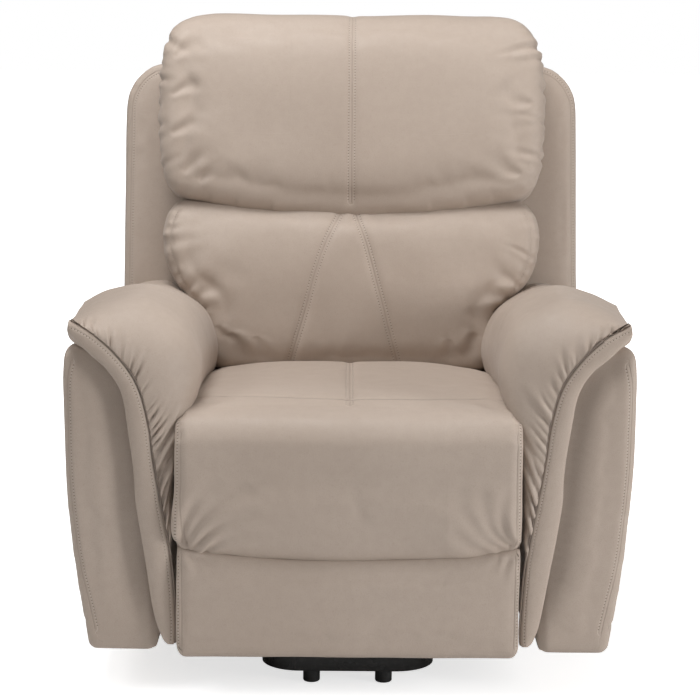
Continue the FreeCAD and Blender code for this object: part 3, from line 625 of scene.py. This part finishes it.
def finish_soft(obj, body, *nodes):
    """Last steps of a leather piece, which may stand for CAD nodes."""
    obj.data.polygons.foreach_set("use_smooth", [True] * len(obj.data.polygons))
    obj.data.materials.clear()
    obj.data.materials.append(LOOKS["taupe_leather"])
    if body:
        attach(obj, body)
    if nodes:
        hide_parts(*nodes)


def finish_back(obj, *nodes):
    lean_back(obj)
    to_frame(obj)
    finish_soft(obj, "back", *nodes)


def finish_sided(obj, sign, body, *nodes):
    """Mirrors a piece drawn on the +X side where sign is -1, and finishes it."""
    points = points_of(obj)
    points[:, 0] *= sign
    set_points(obj, points)
    if sign < 0:
        obj.data.flip_normals()
    to_frame(obj)
    finish_soft(obj, body, *nodes)


def dress_cad():
    """Materials for the CAD parts that stay, with their edges broken by a small bevel."""
    slots = {part["node"]: part["material_slot"] for part in frame["record"]["subparts"]}
    for node, obj in frame["nodes"].items():
        obj.data.materials.clear()
        obj.data.materials.append(LOOKS[slots[node]])
        edge = obj.modifiers.new("edge", "BEVEL")
        edge.width = 0.8 * MM
        edge.segments = 2
        edge.limit_method = "ANGLE"
        edge.angle_limit = math.radians(40)


# ---- back
HEAD_HALF = [(0, 366), (90, 371), (180, 383), (262, 398), (306, 408), (322, 430), (329, 500), (332, 570),
             (329, 640), (316, 690), (281, 718), (225, 723), (0, 723)]
HEAD_SIDE = [(-62, 352), (-130, 354), (-160, 368), (-174, 412), (-178, 520), (-176, 620), (-164, 680),
             (-138, 713), (-100, 723), (-62, 725)]
LUMBAR_HALF = [(0, 86), (242, 86), (244, 140), (249, 168), (260, 192), (278, 216), (295, 238), (309, 260),
               (319, 284), (324, 310), (324, 338), (319, 360), (308, 378), (290, 388), (250, 387), (170, 378),
               (90, 370), (0, 365)]
LUMBAR_SIDE = [(-62, 80), (-128, 82), (-158, 98), (-168, 180), (-172, 300), (-164, 350), (-140, 384),
               (-62, 398)]
CUSHION_FRONT, CUSHION_BACK = -215.0, -60.0
CUSHION_MESH = 9.0
HIDDEN_DEPTH = 6.0  # the rim of a cushion's back that stays on the shell


def back_cushion(name, half, side_view, cap):
    """A filled cushion from its front outline and its side view, both upright."""
    cushion = prism(name, rounded_outline(mirrored_outline(half), 2), "y", CUSHION_FRONT, CUSHION_BACK)
    side = prism("side_view", rounded_outline(side_view, 2), "x", -420.0, 420.0)
    combine(cushion, side, "INTERSECT")
    even_mesh(cushion, CUSHION_MESH, 5)
    rear = points_of(cushion)[:, 1].max()
    swell(cushion, 4.0, cap, lambda points: points[:, 1] > rear - HIDDEN_DEPTH)
    subdivide(cushion)
    subdivide(cushion)
    return cushion


def head_cushion():
    cushion = back_cushion("head_cushion_cover", HEAD_HALF, HEAD_SIDE, 24.0)
    rise = drape(cushion, [(0, -300, z) for z in np.linspace(382, 690, 12)], TO_REAR)
    over = drape(cushion, [(0, y, 900) for y in np.linspace(-165, -70, 6)], DOWN)
    seams = [seam(np.vstack([rise, over]), 2, 2.2, 9.0)]
    for sign in (-1, 1):
        edge = [(sign * ASIDE, -150, z) for z in np.linspace(425, 690, 12)]
        path = drape(cushion, edge, (-sign, 0, 0))
        folds = gathers(11 + sign, 265, 10, 4.6, 85.0, 6.0)
        seams.append(seam(path, 3, 3.0, 6.0, folds))
    bottom = drape(cushion, [(x, -120, 300) for x in np.linspace(-300, 300, 13)], UP)
    folds = gathers(17, 600, 12, 1.8, 55.0, 9.0)
    seams.append(seam(bottom, 0, 2.0, 7.0, folds))
    creases = [
        ((-318, -178, 640), (-262, 668), 9, 2.4), ((-322, -178, 570), (-258, 592), 8, 2.2),
        ((-320, -178, 500), (-250, 520), 9, 2.0), ((-300, -175, 432), (-235, 470), 10, 2.6),
        ((-270, -175, 415), (-215, 452), 9, 2.2), ((300, -175, 432), (246, 470), 10, 2.2),
        ((322, -178, 560), (272, 575), 8, 1.6),
    ]
    sew(cushion, seams, creases, (120.0, 3.0, 1))
    finish_back(cushion, "head_cushion")


def lumbar_cushion():
    cushion = back_cushion("lumbar_cushion_cover", LUMBAR_HALF, LUMBAR_SIDE, 22.0)
    left = [(-19, -300, 364), (-43, -300, 312), (-63, -300, 254), (-82, -300, 178), (-107, -300, 94)]
    right = [(8, -300, 364), (27, -300, 308), (45, -300, 241), (64, -300, 172), (85, -300, 94)]
    seams = [seam(drape(cushion, path, TO_REAR), 2, 3.0, 9.0) for path in (left, right)]
    edge = [(259, 190), (279, 212), (297, 236), (310, 260), (319, 286), (322, 312), (319, 342), (309, 366)]
    for sign in (-1, 1):
        path = drape(cushion, [(sign * x, -300, z) for x, z in edge], TO_REAR)
        folds = gathers(31 + sign, 215, 6, 2.2, 62.0, 8.0)
        seams.append(seam(path, 3, 2.6, 5.0, folds))
    creases = [
        ((-276, -170, 206), (-220, 230), 9, 4.0), ((-274, -170, 200), (-228, 168), 10, 3.6),
        ((-268, -170, 220), (-190, 268), 15, 3.6), ((-214, -170, 146), (-188, 92), 9, 4.6),
        ((-168, -180, 140), (-160, 92), 9, 2.4), ((-236, -170, 160), (-226, 100), 9, 3.4),
        ((276, -170, 214), (214, 248), 10, 4.0), ((268, -170, 198), (222, 160), 11, 3.6),
        ((296, -170, 246), (226, 284), 12, 3.0), ((222, -170, 150), (196, 96), 10, 4.0),
        ((176, -180, 138), (166, 92), 9, 2.4), ((-300, -170, 262), (-246, 296), 12, 2.6),
        ((-30, -180, 108), (-26, 176), 12, 1.6), ((30, -190, 366), (52, 306), 12, 1.6),
    ]
    wide, shallow = 1.2, 0.6
    creases = [(start, end, width * wide, depth * shallow) for start, end, width, depth in creases]
    sew(cushion, seams, creases, (90.0, 3.6, 2))
    finish_back(cushion, "lumbar_cushion")


SHELL_DEPTH = 50.0  # half the shell's thickness
SHELL_HUB = 114.0  # the round gap the shell's foot leaves about the pivot
SHELL_TOP, SHELL_HALF = 659.0, 411.0
SHELL_CORNER = 80.0


def shell_corner(centre_x, centre_z, turns):
    return [(centre_x + SHELL_CORNER * math.cos(a), centre_z + SHELL_CORNER * math.sin(a)) for a in turns]


def back_shell():
    """The winged shell behind the cushions."""
    d, top, half = SHELL_DEPTH, SHELL_TOP, SHELL_HALF
    outline = [(half, 60), (half, top - SHELL_CORNER)]
    outline += shell_corner(half - SHELL_CORNER, top - SHELL_CORNER, np.linspace(0.15, 1.57, 7))
    shell = prism("back_shell_cover", mirrored_outline([(0, 60)] + outline), "y", -d, d)
    turn = math.asin(d / SHELL_HUB)
    arc = [(-SHELL_HUB * math.sin(a), SHELL_HUB * math.cos(a)) for a in np.linspace(turn, -turn, 9)]
    side = prism("side_view", arc + [(d, top + 20), (-d, top + 20)], "x", -450.0, 450.0)
    combine(shell, side, "INTERSECT")
    even_mesh(shell, 9.0, 6)
    swell(shell, 3.0, 7.0)
    subdivide(shell)
    seams = []
    for sign in (-1, 1):
        rise = [(sign * (half - 7), -200, z) for z in np.linspace(130, top - 90, 9)]
        bend = shell_corner(half - 87, top - 90, np.linspace(0.2, 1.4, 5))
        rise += [(sign * x, -200, z) for x, z in bend]
        seams.append(seam(drape(shell, rise, TO_REAR), 1, 1.6, 5.0))
        panel = [(sign * 318, 200, z) for z in np.linspace(130, top - 20, 10)]
        seams.append(seam(drape(shell, panel, TO_FRONT), 2, 2.4, 8.0))
    across = [(x, 200, 232) for x in np.linspace(-312, 312, 12)]
    seams.append(seam(drape(shell, across, TO_FRONT), 1, 2.0, 7.0))
    sew(shell, seams, (), (150.0, 3.0, 3))
    finish_back(shell, "back_shell")


def back_aprons():
    """Flaps that close the gap below the cushions, in front and behind."""
    for name, y in (("back_apron_front", (-53.0, -38.0)), ("back_apron_rear", (38.0, 53.0))):
        apron = prism(name, rectangle(-254, 8, 254, 122), "y", *y)
        even_mesh(apron, 5.0, 3)
        subdivide(apron)
        hem = [(x, y[1] * 4, 18) for x in np.linspace(-228, 228, 8)]
        hem = drape(apron, hem, (0, -math.copysign(1, y[1]), 0))
        sew(apron, [seam(hem, 1, 1.0, 5.0)], (), (80.0, 1.5, 4))
        finish_back(apron)


# ---- seat and leg rest
SEAT_PROFILE = [(146, 358), (146, 416), (120, 424), (0, 443), (-100, 453), (-230, 458), (-330, 459),
                (-400, 456), (-436, 452), (-462, 442), (-477, 421), (-481, 385), (-481, 286), (-479, 268),
                (-472, 253), (-464, 245), (-458, 242), (-457, 300), (-457, 412), (-452, 418), (-414, 418),
                (-411, 410), (-411, 358)]
FOOT_PROFILE = [(-458, 246), (-463, 243), (-471, 236), (-478, 221), (-480, 200), (-480, 104), (-478, 84),
                (-469, 73), (-448, 72), (-446, 80), (-457, 86)]
CALF_CREASES = ((258, 256, 30, 345, 7, 5.0), (256, 250, 66, 358, 9, 7.0), (252, 246, 104, 350, 10, 7.0),
                (244, 243, 110, 312, 9, 5.4))
TUCK_Z = 246.0
TUCK_REACH = 55.0
CROWN = 19.0  # how far the seat's rear falls from its middle to its sides
FOOT_CORNER = 14.0


def sag_tuck(points):
    """Lowers the seam between calf pad and foot pad towards its middle."""
    across = 1 - (points[:, 0] / SEAT_HALF) ** 2
    near = np.exp(-(((points[:, 2] - TUCK_Z) / TUCK_REACH) ** 2)) * (points[:, 1] < -420)
    points[:, 2] += near * (5.0 - 21.0 * np.clip(across, 0, 1))
    return points


def seat_and_calf():
    """One cover from the back of the seat over the nose to the bottom of the calf pad."""
    pad = prism("seat_and_calf_cover", SEAT_PROFILE, "x", -LEG_REST_HALF + 3, LEG_REST_HALF - 3)
    even_mesh(pad, 9.0, 3)

    def held(points):
        inside = (points[:, 1] > -459) & (points[:, 1] < -400) & (points[:, 2] < 425)
        return inside | (points[:, 2] < 366) & (points[:, 1] > -420)

    swell(pad, 4.0, 11.0, held)
    subdivide(pad)
    subdivide(pad)
    points = points_of(pad)
    crown = np.clip(1 - (points[:, 0] / SEAT_HALF) ** 2, 0, 1)
    top = smooth_step(395, 440, points[:, 2]) * smooth_step(-400, -20, points[:, 1])
    points[:, 2] += top * CROWN * (crown - 1.0)
    points[:, 0] = np.clip(points[:, 0], -LEG_REST_HALF, LEG_REST_HALF)
    set_points(pad, sag_tuck(points))
    across = [(x, -404 - 7 * (1 - (x / 245) ** 2), ABOVE) for x in np.linspace(-246, 246, 17)]
    across = drape(pad, across, (0, 0.1, -1))
    centre = drape(pad, [(0, y, ABOVE) for y in np.linspace(130, -404, 20)], DOWN)
    seams = [seam(across, 0, 2.2, 5.0), seam(centre, 2, 2.4, 9.0)]
    creases = []
    for sign, reach, deep in ((-1, 1.0, 1.4), (1, 0.86, 1.05)):
        over = [(sign * SIDE_ROW, y, ABOVE) for y in np.linspace(-405, -440, 4)]
        front = [(sign * SIDE_ROW, AHEAD, z) for z in np.linspace(430, 256, 12)]
        path = np.vstack([drape(pad, over, DOWN), drape(pad, front, TO_REAR)])
        seams.append(seam(path if sign < 0 else path[::-1], 1, 2.2, 5.0))
        creases += [((sign * x, -480, z), (sign * (x - run * reach), end_z), width, depth * deep)
                    for x, z, run, end_z, width, depth in CALF_CREASES]
        creases.append(((sign * 226, -480, 240), (sign * (226 - 86 * reach), 280), 8, 3.6))
    sew(pad, seams, creases, (130.0, 3.4, 5))
    to_frame(pad)
    finish_soft(pad, None, "seat_cushion", "calf_pad")
    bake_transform(pad)


def foot_pad():
    pad = prism("foot_pad_cover", FOOT_PROFILE, "x", -LEG_REST_HALF + 2, LEG_REST_HALF - 2)
    even_mesh(pad, 6.0, 3)
    swell(pad, 3.0, 7.0, lambda points: points[:, 1] > -461)
    subdivide(pad)
    points = points_of(pad)
    points[:, 0] = np.clip(points[:, 0], -LEG_REST_HALF, LEG_REST_HALF)
    over_x = np.maximum(np.abs(points[:, 0]) - (LEG_REST_HALF - FOOT_CORNER), 0)
    lift = FOOT_CORNER - np.sqrt(np.maximum(FOOT_CORNER**2 - over_x**2, 0))
    points[:, 2] += lift * smooth_step(130, 76, points[:, 2])
    set_points(pad, sag_tuck(points))
    seams, creases = [], []
    for sign in (-1, 1):
        front = [(sign * SIDE_ROW, AHEAD, z) for z in np.linspace(238, 90, 12)]
        path = drape(pad, front, TO_REAR)
        seams.append(seam(path if sign < 0 else path[::-1], 1, 1.8, 5.0))
        creases.append(((sign * 252, -484, 238), (sign * 224, 204), 7, 2.2))
        creases.append(((sign * 236, -484, 236), (sign * 205, 210), 7, 1.6))
    sew(pad, seams, creases, (120.0, 2.6, 6))
    to_frame(pad)
    finish_soft(pad, "leg_rest", "foot_pad")


def leg_rest_sides():
    """Leather that wraps the edges of the leg rest's board."""
    for side, sign in SIDES:
        strip = prism(f"leg_rest_edge_{side}", rectangle(-459, 86, -443, 414), "x", 259.0, 267.0)
        even_mesh(strip, 3.0, 2)
        row = drape(strip, [(ASIDE, -448, z) for z in np.linspace(96, 404, 12)], TO_CENTRE)
        sew(strip, [seam(row, 3, 0.4, 3.0)], (), (80.0, 1.0, 40))
        finish_sided(strip, sign, "leg_rest")


# ---- arms, drawn on the +X side
# Outlines as (across, height): where the pillow meets the band, its full size, its heart, its underside.
WELT = [(426, 605), (383, 575), (344, 534), (322, 495), (308, 438), (302, 388), (290, 308), (278, 224),
        (277, 104)]
ROLL = [(434, 592), (388, 614), (328, 622), (262, 588), (236, 532), (238, 478), (262, 400), (274, 262),
        (276, 104)]
CORE = [(415, 580), (385, 575), (340, 570), (308, 555), (290, 520), (286, 480), (286, 430), (286, 340),
        (282, 104)]
UNDER = [(284, 104), (294, 122), (298, 500), (345, 557), (402, 557), (428, 568), (436, 584)]
FACING_EDGE = [(434, 584), (400, 550), (373, 526), (353, 492), (344, 445), (334, 363), (331, 313), (319, 236),
               (304, 141), (291, 100), (283, 90)]
FACING_WELT = [(431, 605), (383, 575), (344, 534), (322, 495), (308, 438), (302, 388), (289, 308), (275, 224),
               (269, 141), (269, 100), (272, 90)]
COVER_OUTLINE = [(288, 0), (396, 0), (405, 78), (425, 200), (437, 330), (440, 400), (440, 540), (428, 562),
                 (350, 556), (302, 492)]
COVER_RIM = [(398, 110), (408, 160), (421, 220), (430, 300), (435, 370), (436, 430), (436, 500), (430, 535)]
COVER_FRONT, COVER_REAR = ARM_FRONT_Y + 4, 420.0
POCKET = (-66, 232, 80, 487)  # the handset's recess, as (y, z) of two corners
POCKET_EDGE = (-76, 224, 90, 493)
HANDSET_CLEARANCE = 1.5
ROLL_FRONT = -468.0
PILLOW_ROWS, PILLOW_COLUMNS, UNDER_COLUMNS = 150, 260, 22
PILLOW_TAIL = 40.0  # length over which the pillow closes at the back
PILLOW_SLIM = 0.72  # share of its thickness left at its closed end
CORD_RADIUS, CORD_SIDES = 1.3, 8
FACING_FRONT, FACING_BACK, FACING_BULGE = -465.0, -457.5, 7.0
FACING_ROWS, FACING_COLUMNS = 120, 12
ROW_INSET = 7.5  # from the band's welt to the stitches beside it
# Folds along the welt, as (places between its outline points, width, reach, depth, slant).
TOP_PUCKERS = ((0.35, 0.55, 0.78, 0.95, 1.35, 1.68, 1.86, 2.3, 2.6, 3.1, 3.6),
               (1.2, 2.2), (24, 52), (2.6, 4.2), (-0.05, 0.03))
LOW_PUCKERS = ((3.9, 4.15, 4.4, 4.65, 4.9, 5.15, 5.4, 5.65, 5.95, 6.25, 6.6),
               (2.0, 3.6), (40, 85), (4.6, 7.4), (-0.07, 0.07))


def arm_side_outline(front_y):
    """The arm seen from the side, as in the CAD, with its round shoulder behind."""
    arc = [(PIVOT_Y + SHOULDER * math.cos(a), PIVOT_Z + SHOULDER * math.sin(a))
           for a in np.radians(np.linspace(0, 110, 12))]
    top = [(219, 560), (100, 564), (-223, 616), (-385, 620), (front_y + 18, 600), (front_y, 584)]
    return [(front_y, ARM_FOOT_Z), (PIVOT_Y + SHOULDER - 12, ARM_FOOT_Z)] + arc + top


def shoulder_y(z):
    """Where the arm ends at the back, at height z."""
    low = PIVOT_Y + SHOULDER - 12 * smooth_step(300, 90, z)
    arc = PIVOT_Y + np.sqrt(np.maximum(SHOULDER**2 - (z - PIVOT_Z) ** 2, 0))
    upper = 181 + (z - 400) * 0.24
    return np.where(z < PIVOT_Z, low, np.where(z < 394, arc, upper))


def arm_cover(side, sign):
    outline = rounded_outline(COVER_OUTLINE, 1)
    fall = (COVER_REAR - ARM_FRONT_Y) * ARM_FALL
    cover = prism(f"arm_cover_{side}_skin", outline, "y", COVER_FRONT, COVER_REAR, fall)
    combine(cover, prism("side_view", arm_side_outline(COVER_FRONT), "x", 250.0, 470.0), "INTERSECT")
    if side == "left":
        inner = next(cad_box("handset"))[0] - HANDSET_CLEARANCE
        pocket = rounded_outline(rectangle(*POCKET), 1)
        combine(cover, prism("pocket", pocket, "x", inner, 470.0), "DIFFERENCE")
    even_mesh(cover, 7.0, 4)

    def held(points):
        x, y, z = points.T
        pocket_zone = (np.abs(y - 7) < 90) & (np.abs(z - 360) < 142) & (x > 400)
        return (pocket_zone & (side == "left")) | (x < 306)

    swell(cover, 3.0, 6.0, held)
    subdivide(cover)
    points = points_of(cover)
    edge = curve_through(FACING_EDGE, 60)
    gap = np.sqrt(((points[:, None, [0, 2]] - edge[None]) ** 2).sum(2)).min(1)
    front = smooth_step(-400, -452, points[:, 1])
    points[:, 1] += front * 15.0 * np.exp(-((gap / 34.0) ** 2)) * smooth_step(90, 220, points[:, 2])
    set_points(cover, points)
    rise = drape(cover, [(x, -900, z) for x, z in COVER_RIM], TO_REAR)
    low_side = drape(cover, [(ASIDE, y, 120) for y in np.linspace(-440, 290, 16)], TO_CENTRE)
    seams = [seam(rise[::-1], 1, 1.8, 5.0), seam(low_side, 1, 1.6, 5.0)]
    if side == "left":
        rim = [(ASIDE, y, z) for y, z in rectangle(*POCKET_EDGE)]
        rim = np.array(rim + rim[:1], float)
        dense = [np.linspace(a, b, 9)[:-1] for a, b in zip(rim[:-1], rim[1:])]
        seams.append(seam(drape(cover, np.vstack(dense + [rim[-1:]]), TO_CENTRE), 1, 1.4, 5.0))
    sew(cover, seams, (), (140.0, 3.2, 7 + sign))
    finish_sided(cover, sign, "chair", f"arm_cover_{side}")


def puckers(draw, places, *ranges):
    """Random folds along the welt, each with its column on the pillow first."""
    knot = (PILLOW_COLUMNS - 1) / (len(WELT) - 1)
    return [[(place + draw.uniform(-0.06, 0.06)) * knot] + [draw.uniform(*span) for span in ranges]
            for place in places]


def arm_roll(side, sign):
    """The pillow over the arm: a skin that rises from the welt to full size behind it."""
    welt, roll, core = (curve_through(outline, PILLOW_COLUMNS) for outline in (WELT, ROLL, CORE))
    columns = np.arange(PILLOW_COLUMNS)
    rise = np.interp(columns, [0, 60, 110, PILLOW_COLUMNS - 1], [130.0, 120.0, 90.0, 30.0])
    draw = random.Random(50 + sign)
    folds = puckers(draw, *TOP_PUCKERS) + puckers(draw, *LOW_PUCKERS)
    under_start = welt[np.linspace(PILLOW_COLUMNS - 2, 1, UNDER_COLUMNS).astype(int)]
    under_move = curve_through(UNDER, UNDER_COLUMNS + 2)[1:-1] - under_start
    end = shoulder_y(roll[:, 1] - 30 * smooth_step(420, 560, roll[:, 1]))
    points, pushes = [], []
    for step in np.linspace(0, 1, PILLOW_ROWS) ** 1.5:
        y = ROLL_FRONT + step * (end - ROLL_FRONT)
        full = np.sqrt(1 - (1 - np.clip((y - ROLL_FRONT) / rise, 0, 1)) ** 2)[:, None]
        tail = np.sqrt(1 - (1 - np.clip((end - y) / PILLOW_TAIL, 0, 1)) ** 2)[:, None]
        ring = welt + (roll - welt) * full
        ring = core + (ring - core) * (PILLOW_SLIM + (1 - PILLOW_SLIM) * tail)
        away = np.hypot(y - ROLL_FRONT, np.linalg.norm(ring - welt, axis=1))
        push = np.zeros(PILLOW_COLUMNS + UNDER_COLUMNS)
        for place, width, reach, depth, slant in folds:
            x = (columns - place - slant * away) / (width * (1 + away / reach))
            fade = np.clip(1 - away / reach, 0, 1) ** 0.8 * smooth_step(0.0, 6.0, away)
            push[:PILLOW_COLUMNS] += depth * fold_profile(x) * fade
        pushes.append(push)
        fall = np.interp(y, [-470, -223, 100, 222], [0.0, 0.0, 54.0, 60.0])
        fall *= smooth_step(300, 520, ring[:, 1])
        points.append(np.stack([ring[:, 0], y, ring[:, 1] - fall], 1))
        under = under_start + under_move * smooth_step(0.0, 22.0, y.min() - ROLL_FRONT)
        under_y = np.linspace(y[-1], y[0], UNDER_COLUMNS)
        drop = (under_y - ARM_FRONT_Y) * ARM_FALL * smooth_step(300, 500, under[:, 1])
        points.append(np.stack([under[:, 0], under_y, under[:, 1] - drop], 1))
    size = PILLOW_COLUMNS + UNDER_COLUMNS
    faces = ring_faces(PILLOW_ROWS, size) + [[(PILLOW_ROWS - 1) * size + i for i in range(size)]]
    pillow = new_piece(f"arm_pad_{side}_skin", np.vstack(points), faces)
    set_points(pillow, points_of(pillow) + normals_of(pillow) * np.concatenate(pushes)[:, None])
    sew(pillow, [], (), (100.0, 4.0, 20 + sign))
    finish_sided(pillow, sign, "chair", f"arm_pad_{side}")


def welt_cord(side, sign):
    """The piping cord between the pillow and the band."""
    path = np.array([(x, ROLL_FRONT, z) for x, z in curve_through(FACING_WELT, 90)[8:-3]])
    points = []
    for i, centre in enumerate(path):
        ahead = path[min(i + 1, len(path) - 1)] - path[max(i - 1, 0)]
        across = np.cross(ahead / np.linalg.norm(ahead), TO_REAR)
        for a in np.arange(CORD_SIDES) * 2 * math.pi / CORD_SIDES:
            points.append(centre + CORD_RADIUS * (math.cos(a) * across + math.sin(a) * np.array(TO_REAR)))
    ends = [list(range(CORD_SIDES)), [(len(path) - 1) * CORD_SIDES + k for k in range(CORD_SIDES)]]
    cord = new_piece(f"arm_welt_{side}", points, ring_faces(len(path), CORD_SIDES) + ends)
    finish_sided(cord, sign, "chair")


def arm_facing(side, sign):
    """The flat band between the pillow's welt and the arm's outer cover."""
    across = np.linspace(0, 1, FACING_COLUMNS)
    points = []
    for a, b in zip(curve_through(FACING_EDGE, FACING_ROWS), curve_through(FACING_WELT, FACING_ROWS)):
        for t in across:
            x, z = a + (b - a) * t
            points.append((x, FACING_FRONT - FACING_BULGE * math.sin(math.pi * t) ** 0.6, z))
        for t in across[::-1]:
            x, z = a + (b - a) * t
            points.append((x, FACING_BACK, z))
    n = 2 * FACING_COLUMNS
    faces = ring_faces(FACING_ROWS, n)
    faces += [list(range(n))[::-1], [(FACING_ROWS - 1) * n + i for i in range(n)]]
    band = new_piece(f"arm_facing_{side}_skin", points, faces)
    subdivide(band)
    edge, welt = curve_through(FACING_EDGE, 40), curve_through(FACING_WELT, 40)
    width = np.linalg.norm(edge - welt, axis=1)[:, None]
    row = welt + (edge - welt) * np.minimum(ROW_INSET / width, 0.5)
    path = drape(band, [(x, -900, z) for x, z in row], TO_REAR)
    sew(band, [seam(path, 3, 0.5, 3.0)], (), (70.0, 1.4, 30 + sign))
    finish_sided(band, sign, "chair", f"arm_facing_{side}")


# ---- small covers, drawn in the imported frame
def rear_skirt():
    low, high = cad_box("rear_skirt")
    outline = rectangle(low[0] + 2, low[2] + 2, high[0] - 2, high[2] - 2)
    board = prism("rear_skirt_cover", outline, "y", low[1] + 1, high[1] - 1)
    even_mesh(board, 5.0, 3)
    subdivide(board)
    seams = []
    for z in (low[2] + 14, high[2] - 14):
        row = [(x, 900, z) for x in np.linspace(low[0] + 14, high[0] - 14, 12)]
        seams.append(seam(drape(board, row, TO_FRONT), 1, 1.0, 5.0))
    sew(board, seams, (), (90.0, 2.0, 9))
    finish_soft(board, "chair", "rear_skirt")


def pocket_pouch():
    low, high = cad_box("pocket_panel")
    outline = rectangle(low[1], low[2], high[1], high[2])
    pouch = prism("pocket_pouch", outline, "x", low[0] + 0.2, high[0])
    even_mesh(pouch, 1.3, 1)
    points = points_of(pouch)
    mouth = smooth_step(high[2] - 40, high[2], points[:, 2])
    wide = 1 - ((points[:, 1] - (low[1] + high[1]) / 2) / ((high[1] - low[1]) / 2)) ** 2
    points[:, 0] += 3.0 * mouth * np.clip(wide, 0, 1)
    set_points(pouch, points)
    rim = [(ASIDE, y, high[2] - 10) for y in np.linspace(low[1] + 4, high[1] - 4, 10)]
    sew(pouch, [seam(drape(pouch, rim, TO_CENTRE), 1, 0.3, 3.0)], (), (60.0, 0.8, 12))
    finish_soft(pouch, "chair", "pocket_panel")


# ---- floor, light, camera
AMBIENT = 0.13  # what the white surroundings add to the light; the camera sees them at full white
FLOOR_GLOW = (0.7, 1.4)  # near the chair and far behind it
FLOOR_HALF = 15


def stage():
    mesh = bpy.data.meshes.new("floor")
    corners = rectangle(-FLOOR_HALF, -FLOOR_HALF, FLOOR_HALF, FLOOR_HALF)
    mesh.from_pydata([(x, y, 0) for x, y in corners], [], [[0, 1, 2, 3]])
    floor = bpy.data.objects.new("floor", mesh)
    scene.collection.objects.link(floor)
    s = Shader("floor_look")
    shade = s.mix(s.noise(1.5), (0.88, 0.88, 0.88, 1), (0.92, 0.92, 0.92, 1))
    seen = s.add("ShaderNodeLightPath").outputs["Is Camera Ray"]
    far = s.add("ShaderNodeVectorMath")
    far.operation = "LENGTH"
    s.feed(far.inputs[0], s.place)
    glow = s.times(seen, s.ramp(far.outputs["Value"], 0.5, 2.4, *FLOOR_GLOW))
    mesh.materials.append(s.finish(shade, 0.7, Emission_Color=WHITE, Emission_Strength=glow))
    world = bpy.data.worlds.new("studio")
    scene.world = world
    world.use_nodes = True
    tree = world.node_tree
    ambient = tree.nodes["Background"]
    backdrop = tree.nodes.new("ShaderNodeBackground")
    for background, strength in ((ambient, AMBIENT), (backdrop, 1.0)):
        background.inputs[0].default_value = WHITE
        background.inputs[1].default_value = strength
    choose = tree.nodes.new("ShaderNodeMixShader")
    ray = tree.nodes.new("ShaderNodeLightPath")
    tree.links.new(ray.outputs["Is Camera Ray"], choose.inputs[0])
    tree.links.new(ambient.outputs[0], choose.inputs[1])
    tree.links.new(backdrop.outputs[0], choose.inputs[2])
    tree.links.new(choose.outputs[0], tree.nodes["World Output"].inputs["Surface"])
    scene.view_settings.view_transform = "Standard"


def area_light(name, place, target, size, power):
    data = bpy.data.lights.new(name, "AREA")
    data.shape = "RECTANGLE"
    data.size, data.size_y = size
    data.energy = power
    light = bpy.data.objects.new(name, data)
    scene.collection.objects.link(light)
    light.location = place
    light.rotation_mode = "QUATERNION"
    light.rotation_quaternion = (Vector(target) - Vector(place)).to_track_quat("-Z", "Y")


def lights():
    middle = (0.0, 0.0, 0.5)
    area_light("top", (-0.5, -0.3, 3.3), (0.0, 0.1, 0.5), (1.8, 1.4), 77)
    area_light("high", (-2.4, -2.0, 2.9), middle, (1.4, 1.4), 33)
    area_light("front", (0.8, -4.2, 1.6), middle, (1.4, 1.4), 4)
    area_light("key", (3.3, -1.8, 1.2), middle, (1.2, 1.2), 79)


CAMERA_PITCH, CAMERA_ROLL = math.radians(10.457), math.radians(0.45)
CAMERA_Y, CAMERA_Z = -3948.4, 1202.9
LENS, SENSOR = 119.0, 36.0


def camera():
    """Level across, looking slightly down, then rolled a little."""
    data = bpy.data.cameras.new("camera")
    data.sensor_width = SENSOR
    data.lens = LENS
    cam = bpy.data.objects.new("camera", data)
    scene.collection.objects.link(cam)
    place = Matrix.Translation(Vector((0, CAMERA_Y + SHIFT_Y, CAMERA_Z)) * MM)
    down = Matrix.Rotation(math.pi / 2 - CAMERA_PITCH, 4, "X")
    cam.matrix_world = place @ down @ Matrix.Rotation(CAMERA_ROLL, 4, "Z")
    scene.camera = cam


dress_cad()
head_cushion()
lumbar_cushion()
back_shell()
back_aprons()
seat_and_calf()
foot_pad()
leg_rest_sides()
for side, sign in SIDES:
    arm_cover(side, sign)
    arm_roll(side, sign)
    welt_cord(side, sign)
    arm_facing(side, sign)
rear_skirt()
pocket_pouch()
stage()
lights()
camera()
